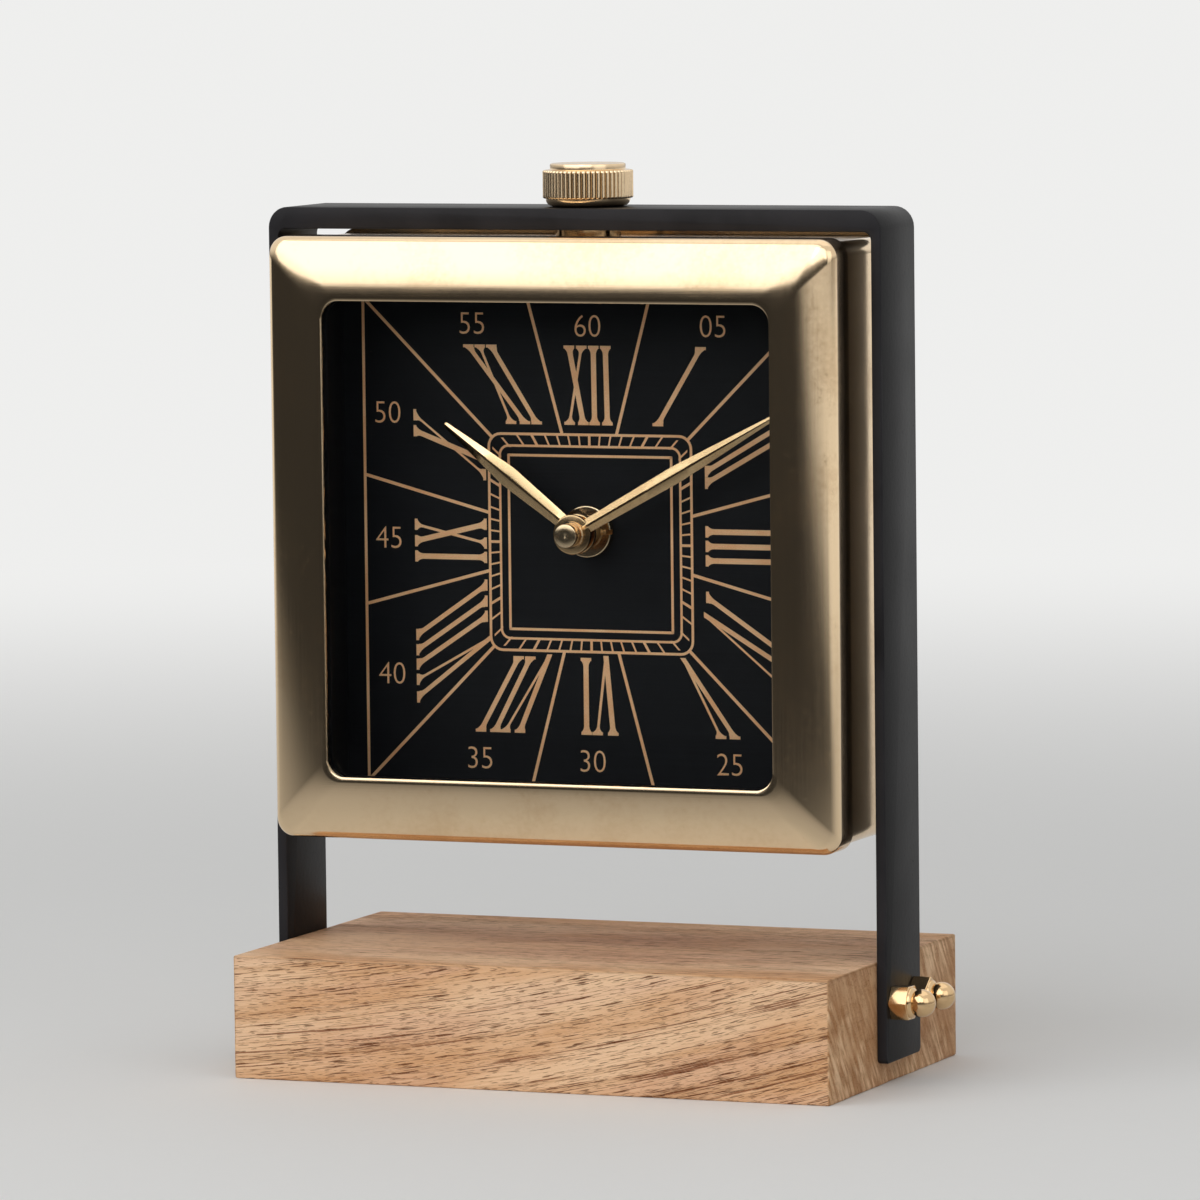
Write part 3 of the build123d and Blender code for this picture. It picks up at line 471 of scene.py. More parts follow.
@dataclass(frozen=True)
class StrapPaint(Finish):
    """Black semi-gloss paint on a bent bar, lighter grey over its front and back faces: painted sheen, with
    the paint thin along its edges.
    """

    edge: float = 12.0
    gloss: float = 0.13
    coat: str = "121113"
    # bare is the lighter grey: painted sheen on the front and back faces, partly paint rubbed thin at the
    # edges.
    bare: str = "38373A"

    def paint(self, graph: Graph) -> None:
        """A fine orange peel, dust, and a lighter grey over the front and back faces that is painted sheen
        with some edge wear.

        Args:
            graph: The material's graph.
        """
        spot = graph.spot()
        _, across, _ = graph.split(spot)
        peel = graph.noise(spot, size=1.3, detail=2)
        dust = graph.fade(graph.noise(spot, size=0.6, detail=2), 0.66, 0.76)
        cloud = graph.noise(spot, size=24, detail=3)
        # Painted sheen: the front and back faces, where the across value reaches the half width, turn
        # lighter grey, with some real edge wear mixed in.
        worn_and_sheen = graph.fade(abs(across) + (cloud - 0.5) * 1.2, self.edge - 0.5, self.edge + 0.1)
        colour = graph.mix(worn_and_sheen * 0.6 + dust * 0.12, tint(self.coat), tint(self.bare))
        rough = 0.34 + 0.14 * cloud + 0.15 * dust
        normal = graph.bump(peel, 0.03, graph.bump(cloud, 0.12))
        graph.show(
            graph.shader(Base_Color=colour, Roughness=rough, Normal=normal, Specular_IOR_Level=self.gloss)
        )


@dataclass(frozen=True)
class BrushedBlack(Finish):
    """Near-black brushed and lacquered sheet."""

    colour: str = "0B0C10"
    sheen: str = "15171C"
    stretch: Triple = (0.02, 1, 2.2)
    gloss: float = 0.2

    def paint(self, graph: Graph) -> None:
        """Fine brushing with a slow change of tone.

        Args:
            graph: The material's graph.
        """
        brush = graph.noise(graph.spot(stretch=self.stretch), detail=3, rough=0.6)
        cloud = graph.noise(graph.spot(), size=30, detail=2)
        lit = graph.fade(brush * 0.7 + cloud * 0.3, 0.35, 0.7)
        colour = graph.mix(lit * 0.6, tint(self.colour), tint(self.sheen))
        normal = graph.bump(brush, 0.006)
        rough = 0.4 + 0.18 * brush
        graph.show(
            graph.shader(Base_Color=colour, Roughness=rough, Normal=normal, Specular_IOR_Level=self.gloss)
        )


@dataclass(frozen=True)
class CopperInk(Finish):
    """Metallic copper-coloured print."""

    deep: str = "F6B67F"
    flash: str = "FFCE9B"

    def paint(self, graph: Graph) -> None:
        """Flakes in the ink and a slightly uneven coat.

        Args:
            graph: The material's graph.
        """
        spot = graph.spot()
        flakes = graph.noise(spot, size=0.25, detail=2)
        cloud = graph.noise(spot, size=9, detail=2)
        lit = graph.fade(flakes * 0.5 + cloud * 0.5, 0.35, 0.65)
        colour = graph.mix(lit, tint(self.deep), tint(self.flash))
        rough = 0.42 + 0.15 * flakes
        graph.show(graph.shader(Base_Color=colour, Roughness=rough, Normal=graph.bump(flakes, 0.004)))


@dataclass(frozen=True)
class ClearGlass(Finish):
    """A clear pane with a trace of dust."""

    index: float = 1.45
    through: Colour = (0.97, 0.98, 0.98, 1)
    mirrored: Colour = (0.95, 0.96, 0.96, 1)

    def paint(self, graph: Graph) -> None:
        """Clear with a mirror share by angle, dimmed where dust lies.

        Args:
            graph: The material's graph.
        """
        spot = graph.spot()
        smear = graph.fade(graph.noise(spot, size=18, detail=4), 0.5, 0.8)
        gloss = graph.node("ShaderNodeFresnel", inputs={"IOR": self.index})
        clear = graph.node("ShaderNodeBsdfTransparent", inputs={"Color": self.through})
        mirror = graph.shader(Base_Color=self.mirrored, Metallic=1.0, Roughness=0.02 + 0.12 * smear)
        share = gloss * 0.4 + smear * 0.004
        graph.show(graph.node("ShaderNodeMixShader", inputs={0: share, 1: clear, 2: mirror}))


@dataclass(frozen=True)
class Moulded(Finish):
    """A moulded, wound or coated small piece."""

    colour: str = "1B1B1D"
    tone: str = "2A2A2C"
    roughness: float = 0.5
    grain: float = 0.6
    relief: float = 0.02
    metallic: float = 0.0
    stretch: Triple = (1, 1, 1)

    def paint(self, graph: Graph) -> None:
        """A fine grain with a slow change of tone.

        Args:
            graph: The material's graph.
        """
        fine = graph.noise(graph.spot(stretch=self.stretch), size=self.grain, detail=3)
        cloud = graph.noise(graph.spot(), size=12, detail=3)
        lit = graph.fade(fine * 0.5 + cloud * 0.5, 0.35, 0.65)
        colour = graph.mix(lit, tint(self.colour), tint(self.tone))
        rough = self.roughness + 0.16 * (fine - 0.5) + 0.08 * (cloud - 0.5)
        normal = graph.bump(fine, self.relief)
        graph.show(
            graph.shader(Base_Color=colour, Roughness=rough, Metallic=self.metallic, Normal=normal)
        )


@dataclass(frozen=True)
class CellWrap(Finish):
    """A cell's sleeve, dark with a coloured end."""

    seam: float = 9.0
    sleeve: str = "1E2022"
    collar: str = "A8703F"
    rubbed: str = "8C8C8A"

    def paint(self, graph: Graph) -> None:
        """Two bands along X with scuffs.

        Args:
            graph: The material's graph.
        """
        along, _, _ = graph.split(graph.spot())
        scuff = graph.noise(graph.spot(stretch=(0.2, 3, 3)), detail=3)
        band = graph.fade(along, self.seam - 0.2, self.seam + 0.2)
        colour = graph.mix(band, tint(self.sleeve), tint(self.collar))
        colour = graph.mix(graph.fade(scuff, 0.55, 0.8) * 0.25, colour, tint(self.rubbed))
        rough = 0.32 + 0.2 * scuff
        graph.show(graph.shader(Base_Color=colour, Roughness=rough, Normal=graph.bump(scuff, 0.01)))


CASE_BRASS = PolishedBrass("case_brass", Polish.FRAMED, roughness=0.12, marks=0.003)
SMALL_BRASS = PolishedBrass(
    "small_brass", Polish.ALONG, bright="E4C294", dull="B08350", roughness=0.13, wave=0.004
)
TURNED_BRASS = PolishedBrass(
    "turned_brass", Polish.TURNED, roughness=0.16, wave=0.0, marks=0.006, centre=131.4
)
CROWN_BRASS = KnurledBrass("crown_brass", roughness=0.2, wave=0.0)
BASE_WOOD = OpenGrainWood("open_grain_wood")
STRAP_BLACK = StrapPaint("strap_black")
DIAL_LACQUER = BrushedBlack("dial_lacquer")
SLEEVE_BLACK = BrushedBlack("sleeve_black", "0C0C0E", "17181B", (0.5, 0.05, 0.5))
PRINT_COPPER = CopperInk("print_copper")
PANE = ClearGlass("clear_pane")
BLACK_MOULDING = Moulded("black_moulding")
WHEEL_MOULDING = Moulded("wheel_moulding", "E4E0D2", "D2CCB8", 0.42, 0.5, 0.008)
BRIGHT_STEEL = Moulded("bright_steel", "B9BCC0", "9EA2A7", 0.24, 0.35, 0.003, 1.0, (0.3, 1, 1))
SOFT_RUBBER = Moulded("soft_rubber", "191919", "232323", 0.8, 0.4, 0.02)
COPPER_WIRE = Moulded("copper_wire", "B4693A", "8C4B26", 0.34, 0.12, 0.03, 1.0, (3, 0.3, 0.3))
BOARD_GREEN = Moulded("board_green", "1F5B36", "2B7044", 0.38, 1.2, 0.01)
CELL_WRAP = CellWrap("cell_wrap")
NODE_FINISHES: tuple[tuple[Finish, tuple[str, ...]], ...] = (
    (BASE_WOOD, ("wood_base",)),
    (STRAP_BLACK, ("strap_frame",)),
    (CASE_BRASS, ("case_shell", "bezel", "back_cover")),
    (
        SMALL_BRASS,
        ("acorn_nuts", "back_screws", "case_spacer", "centre_bush")
        + ("minute_arbor", "hour_hand", "minute_hand"),
    ),
    (TURNED_BRASS, ("dial_washer", "bush_nut", "hand_nut")),
    (CROWN_BRASS, ("crown_knob",)),
    (PANE, ("glass_pane",)),
    (SLEEVE_BLACK, ("dial_surround",)),
    (DIAL_LACQUER, ("dial_plate",)),
    (SOFT_RUBBER, ("rubber_washer",)),
    (BLACK_MOULDING, ("movement_housing", "movement_cover", "setting_knob")),
    (
        BRIGHT_STEEL,
        ("base_studs", "case_rails", "case_bolt", "bolt_washer", "stator")
        + ("rotor_magnet", "quartz_crystal", "battery_contact_plus")
        + ("battery_contact_minus", "clutch_washer"),
    ),
    (
        WHEEL_MOULDING,
        ("coil_bobbin", "rotor_pinion", "hour_wheel", "minute_wheel", "centre_wheel")
        + ("third_wheel", "seconds_wheel", "intermediate_wheel"),
    ),
    (COPPER_WIRE, ("coil_winding",)),
    (BOARD_GREEN, ("circuit_board",)),
    (CELL_WRAP, ("battery",)),
)


def dress_nodes() -> None:
    """Gives every solid of the clock its finish."""
    for finish, names in NODE_FINISHES:
        for name in names:
            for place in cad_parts[name].material_slots:
                place.material = finish.material()
            LOG.info("solid %s: %s", name, finish.name)


@dataclass(frozen=True)
class Card:
    """What a finished piece is called, moves with, is made of and stands for."""

    name: str
    body: str
    slot: str
    finish: Finish
    nodes: tuple[str, ...] = ()
    crease: float = 32.0

    def settle(self, form: bmesh.types.BMesh) -> bpy.types.Object:
        """Turns a shaped bmesh into a dressed piece.

        Args:
            form: The shape, which is freed.

        Returns:
            The piece's object.
        """
        bmesh.ops.remove_doubles(form, verts=form.verts, dist=MERGE)
        bmesh.ops.recalc_face_normals(form, faces=form.faces)
        for face in form.faces:
            face.smooth = True
        for edge in form.edges:
            edge.smooth = edge.calc_face_angle(0.0) < math.radians(self.crease)
        mesh = bpy.data.meshes.new(self.name)
        form.to_mesh(mesh)
        form.free()
        mesh.materials.append(self.finish.material())
        piece = bpy.data.objects.new(self.name, mesh)
        bpy.context.scene.collection.objects.link(piece)
        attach(piece, self.body)
        if self.nodes:
            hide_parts(*self.nodes)
        LOG.info("piece %s on %s: %d faces", self.name, self.body, len(mesh.polygons))
        return piece


def points_of(geom: list[object]) -> list[bmesh.types.BMVert]:
    """The vertices among an operator's results."""
    return [item for item in geom if isinstance(item, bmesh.types.BMVert)]


def draw_loop(
    form: bmesh.types.BMesh, loop: list[bmesh.types.BMEdge]
) -> tuple[list[bmesh.types.BMEdge], list[bmesh.types.BMVert]]:
    """Extrudes an open loop of edges in place.

    Args:
        form: The bmesh that holds the loop.
        loop: The edges to extrude.

    Returns:
        The new loop's edges and vertices.
    """
    moved = bmesh.ops.extrude_edge_only(form, edges=loop)["geom"]
    edges = [item for item in moved if isinstance(item, bmesh.types.BMEdge) and item.is_boundary]
    return edges, points_of(moved)


def thicken(form: bmesh.types.BMesh, faces: list[bmesh.types.BMFace], travel: Triple) -> None:
    """Extrudes flat faces into a body.

    Args:
        form: The bmesh that holds them.
        faces: The faces to extrude.
        travel: Where the far side lies.
    """
    moved = bmesh.ops.extrude_face_region(form, geom=faces)["geom"]
    bmesh.ops.translate(form, vec=travel, verts=points_of(moved))


def lathe(form: bmesh.types.BMesh, profile: list[tuple[float, float]], seat: Matrix, steps: int) -> None:
    """Spins a profile about the seat's own Z axis.

    Args:
        form: The bmesh that takes the shape.
        profile: Radius and height of each point.
        seat: Where the axis stands.
        steps: Divisions of the turn.
    """
    points = [form.verts.new(seat @ Vector((radius, 0, height))) for radius, height in profile]
    lines = [form.edges.new(pair) for pair in zip(points, points[1:])]
    bmesh.ops.spin(
        form,
        geom=points + lines,
        cent=seat.translation,
        axis=seat.to_3x3() @ Vector((0, 0, 1)),
        angle=2 * math.pi,
        steps=steps,
        use_merge=True,
    )
    bmesh.ops.remove_doubles(form, verts=form.verts, dist=MERGE)


def facing(place: Triple, outward: Triple, turn: float = 0.0) -> Matrix:
    """A seat whose Z axis points outward.

    Args:
        place: Where it stands.
        outward: Where its Z axis points.
        turn: Turn about that axis in degrees.

    Returns:
        The seat's matrix.
    """
    aim = Vector(outward).to_track_quat("Z", "Y").to_matrix().to_4x4()
    return Matrix.Translation(place) @ aim @ Matrix.Rotation(math.radians(turn), 4, "Z")


def rounded_square(
    form: bmesh.types.BMesh, half: float, corner: float, y: float, centre: float, segments: int = 10
) -> list[bmesh.types.BMEdge]:
    """Draws the outline of a rounded square that faces the viewer.

    Args:
        form: The bmesh that takes it.
        half: Half its width.
        corner: Radius of its corners.
        y: Its depth.
        centre: Height of its middle.
        segments: Divisions of each corner.

    Returns:
        The outline's edges.
    """
    seat = Matrix.Translation((0, y, centre)) @ Matrix.Rotation(math.pi / 2, 4, "X")
    corners = bmesh.ops.create_grid(form, x_segments=1, y_segments=1, size=half, matrix=seat)["verts"]
    soften(form, corners, corner, segments, "VERTICES")
    bmesh.ops.delete(form, geom=form.faces[:], context="FACES_ONLY")
    return form.edges[:]


def soften(
    form: bmesh.types.BMesh,
    geom: list[bmesh.types.BMEdge] | list[bmesh.types.BMVert],
    radius: float,
    segments: int,
    affect: str = "EDGES",
) -> None:
    """Rounds edges or flat corners.

    Args:
        form: The bmesh that holds them.
        geom: The edges or corners to round.
        radius: Radius of the round.
        segments: Divisions of the round.
        affect: Whether edges or vertices are rounded.
    """
    bmesh.ops.bevel(
        form,
        geom=geom,
        offset=radius,
        offset_type="OFFSET",
        affect=affect,
        segments=segments,
        profile=0.5,
        material=-1,
    )


def sharp_edges(form: bmesh.types.BMesh, angle: float = 50.0) -> list[bmesh.types.BMEdge]:
    """The edges at which the surface turns by more than an angle in degrees."""
    return [edge for edge in form.edges if edge.calc_face_angle(0.0) > math.radians(angle)]


@dataclass
class WoodBlock:
    """The solid base with edges that show slight wear."""

    width: float = 153.98 * MM
    depth: float = 89.98 * MM
    height: float = 29.99 * MM
    eased: float = 0.45 * MM
    lift: float = 0.005 * MM
    cuts: int = 40
    wear: float = 0.3 * MM
    spared: float = 0.3
    foot: float = 1.0 * MM
    lumps: float = 190.0
    finer: float = 3.1
    finer_share: float = 0.5

    def build(self) -> None:
        """A block whose edges are eased and a little uneven."""
        form = bmesh.new()
        bmesh.ops.create_cube(form, size=1.0)
        bmesh.ops.scale(form, vec=(self.width, self.depth, self.height), verts=form.verts)
        bmesh.ops.translate(form, vec=(0, 0, self.height / 2 + self.lift), verts=form.verts)
        bmesh.ops.subdivide_edges(form, edges=form.edges, cuts=self.cuts, use_grid_fill=True)
        edges = sharp_edges(form)
        rims = {vert for edge in edges for vert in edge.verts}
        for vert in rims:
            spot = vert.co * self.lumps
            uneven = noise.noise(spot) + self.finer_share * noise.noise(spot * self.finer)
            bite = max(0.0, uneven) * self.wear
            share = 1.0 if vert.co.z < self.foot else self.spared
            vert.co += (Vector((0, 0, self.height / 2)) - vert.co).normalized() * bite * share
        soften(form, edges, self.eased, segments=2)
        Card("wood_block", "stand", "wood", BASE_WOOD, ("wood_base",)).settle(form)


@dataclass
class Strap:
    """The painted bar bent over the case."""

    outer: float = 79.6 * MM
    inner: float = 77.0 * MM
    top: float = 210.2 * MM
    under: float = 204.9 * MM
    foot: float = 5.5 * MM
    width: float = 24.0 * MM
    outer_bend: float = 5.0 * MM
    inner_bend: float = 2.0 * MM
    foot_corner: float = 1.5 * MM
    eased: float = 0.4 * MM

    def build(self) -> None:
        """One bar with round bends, rounded feet and eased edges."""
        form = bmesh.new()
        path = [
            (-self.outer, self.foot),
            (-self.outer, self.top),
            (self.outer, self.top),
            (self.outer, self.foot),
            (self.inner, self.foot),
            (self.inner, self.under),
            (-self.inner, self.under),
            (-self.inner, self.foot),
        ]
        side = form.faces.new([form.verts.new((x, -self.width / 2, z)) for x, z in path])
        thicken(form, [side], (0, self.width, 0))
        bmesh.ops.recalc_face_normals(form, faces=form.faces)
        soften(form, self._cross_edges(form, self.top, self.outer), self.outer_bend, segments=8)
        soften(form, self._cross_edges(form, self.under, self.inner), self.inner_bend, segments=5)
        feet = [
            edge
            for edge in form.edges
            if all(abs(vert.co.z - self.foot) < NEAR for vert in edge.verts)
            and abs(edge.verts[0].co.x - edge.verts[1].co.x) > NEAR
        ]
        soften(form, feet, self.foot_corner, segments=4)
        soften(form, sharp_edges(form), self.eased, segments=2)
        Card("strap_bar", "stand", "black_paint", STRAP_BLACK, ("strap_frame",)).settle(form)

    @staticmethod
    def _cross_edges(form: bmesh.types.BMesh, z: float, x: float) -> list[bmesh.types.BMEdge]:
        """The edges along Y at one height and distance from the middle.

        Args:
            form: The bmesh that holds them.
            z: Their height.
            x: Their distance to either side.

        Returns:
            The edges.
        """
        return [
            edge
            for edge in form.edges
            if all(abs(vert.co.z - z) < NEAR and abs(abs(vert.co.x) - x) < NEAR for vert in edge.verts)
            and abs(edge.verts[0].co.y - edge.verts[1].co.y) > NEAR
        ]


@dataclass
class AcornNuts:
    """Domed nuts on the two legs."""

    seat: float = 79.6 * MM
    height: float = 20.0 * MM
    reach: float = 7.0 * MM
    flats: float = 8.0 * MM
    hexagon: float = 4.6 * MM
    collar: float = 0.9 * MM
    neck: float = 3.0 * MM
    ball: float = 3.4 * MM
    ball_steps: int = 12
    eased: float = 0.2 * MM
    turns: tuple[float, ...] = (12.0, 40.0, 28.0, 5.0)

    def build(self) -> None:
        """Four nuts, each a chamfered hexagon with a collar and a ball."""
        form = bmesh.new()
        places = [(side, end) for side in (-1, 1) for end in (-1, 1)]
        for (side, end), turn in zip(places, self.turns):
            place = (side * self.seat, end * self.reach, self.height)
            self._add_nut(form, facing(place, (side, 0, 0), turn))
        Card("domed_nuts", "stand", "brass", SMALL_BRASS, ("acorn_nuts",), crease=18).settle(form)

    def _add_nut(self, form: bmesh.types.BMesh, seat: Matrix) -> None:
        """Adds one nut on its seat.

        Args:
            form: The bmesh that takes it.
            seat: Where it stands, with Z pointing out of the leg.
        """
        radius = self.flats / math.sqrt(3)
        middle = seat @ Matrix.Translation((0, 0, self.hexagon / 2))
        made = bmesh.ops.create_cone(
            form,
            cap_ends=True,
            segments=6,
            radius1=radius,
            radius2=radius,
            depth=self.hexagon,
            matrix=middle,
        )["verts"]
        fresh = set(made)
        edges = [edge for edge in form.edges if fresh.issuperset(edge.verts)]
        soften(form, edges, self.eased, segments=2)
        start = self.hexagon + self.collar
        centre = start + math.sqrt(self.ball**2 - self.neck**2)
        first = math.atan2(start - centre, self.neck)
        profile = [
            (self.flats / 2 - 0.25 * MM, self.hexagon - 0.1 * MM),
            (self.flats / 2 - 0.35 * MM, self.hexagon + 0.3 * MM),
            (self.neck + 0.25 * MM, start - 0.15 * MM),
            (self.neck, start),
        ]
        for step in range(1, self.ball_steps + 1):
            angle = first + (math.pi / 2 - first) * step / self.ball_steps
            profile.append((self.ball * math.cos(angle), centre + self.ball * math.sin(angle)))
        lathe(form, profile, seat, steps=32)


@dataclass
class Bezel:
    """The pressed brass frame with its crowned face and turned-in lip."""

    half: float = 73.3 * MM
    corner: float = 4.5 * MM
    centre: float = 130.5 * MM
    border: float = 15.5 * MM
    back: float = -17.5 * MM
    roll: float = -25.0 * MM
    edge: float = 3.0 * MM
    crown: float = 35.5 * MM
    wall: float = 1.0 * MM
    nose: float = 0.35 * MM
    edge_steps: int = 8
    crown_steps: int = 10

    def build(self) -> None:
        """Sweeps the sheet's closed section round the case."""
        form = bmesh.new()
        stations = self._section()
        first = rounded_square(form, self.half, self.corner, stations[0][1], self.centre)
        loop = first
        for (inset, depth), (next_inset, next_depth) in zip(stations, stations[1:]):
            loop, ring = draw_loop(form, loop)
            for vert in ring:
                side = math.copysign(1.0, vert.co.x)
                rise = math.copysign(1.0, vert.co.z - self.centre)
                inward = next_inset - inset
                vert.co -= Vector((side * inward, depth - next_depth, rise * inward))
        bmesh.ops.bridge_loops(form, edges=first + loop)
        Card("bezel_frame", "stand", "brass", CASE_BRASS, ("bezel",), crease=40).settle(form)

    def _section(self) -> list[tuple[float, float]]:
        """Inset and depth of each point round the sheet's section.

        Returns:
            The points, from the rim's back over the face and back inside.
        """
        lean = math.asin((self.border - self.edge) / (self.crown - self.edge))
        outside = [(0.0, self.back), (0.0, self.roll)]
        inside = [(self.wall, self.back), (self.wall, self.roll)]
        for path, shrink in ((outside, 0.0), (inside, self.wall)):
            radius = self.edge - shrink
            for step in range(1, self.edge_steps + 1):
                angle = (math.pi / 2 - lean) * step / self.edge_steps
                path.append((self.edge - radius * math.cos(angle), self.roll - radius * math.sin(angle)))
            middle = self.roll + (self.crown - self.edge) * math.cos(lean)
            radius = self.crown - shrink
            for step in range(1, self.crown_steps + 1):
                angle = -lean * (1 - step / self.crown_steps)
                path.append((self.border + radius * math.sin(angle), middle - radius * math.cos(angle)))
        outside[-1] = (self.border - self.nose, outside[-1][1] + 0.02 * MM)
        nose = [
            (self.border - 0.1 * MM, outside[-1][1] + 0.12 * MM),
            (self.border, outside[-1][1] + self.wall / 2),
        ]
        return outside + nose + inside[::-1]


@dataclass
class CrownKnob:
    """The knurled thumb nut on top of the strap."""

    base: float = 210.3 * MM
    foot: float = 8.8 * MM
    band_base: float = 212.2 * MM
    band_top: float = 219.1 * MM
    radius: float = 10.99 * MM
    groove: float = 0.55 * MM
    cap: float = 9.2 * MM
    top: float = 220.7 * MM
    ribs: int = 56
    inset: float = 6.0 * MM
    flare_share: float = 0.94
    flare_steps: int = 6
    rise: tuple[float, ...] = (0.0, 0.66, 0.93, 1.0, 0.93, 0.66)

    def build(self) -> None:
        """Draws one ribbed ring up through its stations and closes it."""
        form = bmesh.new()
        bmesh.ops.create_circle(form, segments=self.ribs * len(self.rise), radius=1.0)
        loop = form.edges[:]
        first = loop
        stations = self._stations()
        self._place(form.verts[:], *stations[0])
        for station in stations[1:]:
            loop, ring = draw_loop(form, loop)
            self._place(ring, *station)
        bmesh.ops.edgeloop_fill(form, edges=loop)
        bmesh.ops.edgeloop_fill(form, edges=first)
        Card("knurled_crown", "crown", "brass", CROWN_BRASS, ("crown_knob",), crease=45).settle(form)

    def _stations(self) -> list[tuple[float, float, float]]:
        """Rib radius, groove radius and height of each ring from the foot to the top.

        Returns:
            The rings in order.
        """
        root = self.radius - self.groove
        flare = root - 0.15 * MM - self.foot
        plain = [(self.foot - self.inset, self.base), (self.foot - 0.2 * MM, self.base)]
        for step in range(self.flare_steps + 1):
            turn = math.pi / 2 * step / self.flare_steps
            rise = (self.band_base - self.base) * (1 - math.cos(turn)) * self.flare_share
            plain.append((self.foot + flare * math.sin(turn), self.base + 0.1 * MM + rise))
        rings = [(radius, radius, height) for radius, height in plain]
        ends = [(self.radius - 0.2 * MM, 0.08 * MM), (self.radius, 0.3 * MM), (self.radius, 0.6 * MM)]
        rings += [(rib, root, self.band_base + inward) for rib, inward in ends]
        rings += [(rib, root, self.band_top - inward) for rib, inward in reversed(ends)]
        lid = [
            (root - 0.1 * MM, self.band_top),
            (self.cap + 0.3 * MM, self.band_top),
            (self.cap, self.band_top + 0.25 * MM),
            (self.cap, self.top - 0.45 * MM),
            (self.cap - 0.12 * MM, self.top - 0.14 * MM),
            (self.cap - 0.45 * MM, self.top),
            (self.cap - 1.6 * MM, self.top - 0.05 * MM),
            (self.cap - self.inset, self.top - 0.12 * MM),
        ]
        return rings + [(radius, radius, height) for radius, height in lid]

    def _place(self, ring: list[bmesh.types.BMVert], rib: float, root: float, height: float) -> None:
        """Puts one ring at its height, with ribs and grooves by turns.

        Args:
            ring: The ring's vertices.
            rib: Radius at the ribs.
            root: Radius in the grooves.
            height: Height of the ring.
        """
        ring.sort(key=lambda vert: math.atan2(vert.co.y, vert.co.x))
        for at, vert in enumerate(ring):
            angle = 2 * math.pi * at / len(ring) - math.pi
            radius = root + (rib - root) * self.rise[at % len(self.rise)]
            vert.co = Vector((radius * math.cos(angle), radius * math.sin(angle), height))


@dataclass
class LanceHand:
    """A lance-shaped hand with two bevels, a narrow crest, a round tip and a hub."""

    name: str
    body: str
    node: str
    back: float
    angle: float
    length: float
    belly: float
    bore: float
    root: float = 3.2 * MM
    tip: float = 1.3 * MM
    share: float = 0.52
    edge: float = 0.3 * MM
    ridge: float = 0.6 * MM
    flat: float = 0.16
    hub: float = 4.9 * MM
    thick: float = 0.8 * MM
    rim: float = 0.15 * MM
    centre: float = 131.4 * MM
    stations: int = 28
    tip_stations: int = 6
    blunt: float = 0.4

    def build(self) -> None:
        """Sweeps the bevelled section along the hand and adds the hub."""
        form = bmesh.new()
        turn = Matrix.Rotation(math.radians(self.angle), 4, "Y")
        seat = Matrix.Translation((0, self.back, self.centre)) @ turn
        section = [form.verts.new((0, 0, 0)) for _ in range(6)]
        loop = [form.edges.new((section[at], section[at - 1])) for at in range(6)]
        first = loop
        self._shape(section, 0.0, seat)
        for reach in self._reaches():
            loop, ring = draw_loop(form, loop)
            self._shape(ring, reach, seat)
        bmesh.ops.edgeloop_fill(form, edges=first)
        bmesh.ops.edgeloop_fill(form, edges=loop)
        rim = self.rim
        profile = [
            (self.bore, 0),
            (self.hub - rim, 0),
            (self.hub, rim),
            (self.hub, self.thick - 2 * rim),
            (self.hub - rim, self.thick - rim / 2),
            (self.hub - 3 * rim, self.thick),
            (self.bore, self.thick),
            (self.bore, 0),
        ]
        lathe(form, profile, facing((0, self.back, self.centre), (0, -1, 0)), steps=56)
        Card(self.name, self.body, "brass", SMALL_BRASS, (self.node,), crease=20).settle(form)

    def _reaches(self) -> list[float]:
        """Distances along the hand at which its section is drawn.

        Returns:
            The distances, closer together at the tip.
        """
        straight = self.length - self.tip / 2
        reaches = [straight * step / self.stations for step in range(1, self.stations + 1)]
        for step in range(1, self.tip_stations + 1):
            turn = math.pi / 2 * step / (self.tip_stations + self.blunt)
            reaches.append(straight + self.tip / 2 * math.sin(turn))
        return reaches

    def _half_width(self, reach: float) -> float:
        """Half the hand's width at a distance along it.

        Args:
            reach: Distance from the dial's axis.

        Returns:
            Half the width there.
        """
        beyond = reach - (self.length - self.tip / 2)
        if beyond > 0:
            return math.sqrt((self.tip / 2) ** 2 - beyond**2)
        belly = self.share * self.length
        if reach < belly:
            return (self.root + (self.belly - self.root) * reach / belly) / 2
        taper = 1 - (reach - belly) / (self.length - self.tip / 2 - belly)
        return (self.tip + (self.belly - self.tip) * taper) / 2

    def _shape(self, ring: list[bmesh.types.BMVert], reach: float, seat: Matrix) -> None:
        """Puts one six-point section at its place along the hand.

        Args:
            ring: The section's vertices.
            reach: Distance from the dial's axis.
            seat: Where the hand lies and points.
        """
        half = self._half_width(reach)
        flat = half * self.flat
        crest = self.edge + self.ridge * min(1.0, 2 * half / self.root)
        points = [
            (-half, 0),
            (half, 0),
            (half, self.edge),
            (flat, crest),
            (-flat, crest),
            (-half, self.edge),
        ]
        for vert, (across, proud) in zip(ring, points):
            vert.co = seat @ Vector((across, -proud, reach))


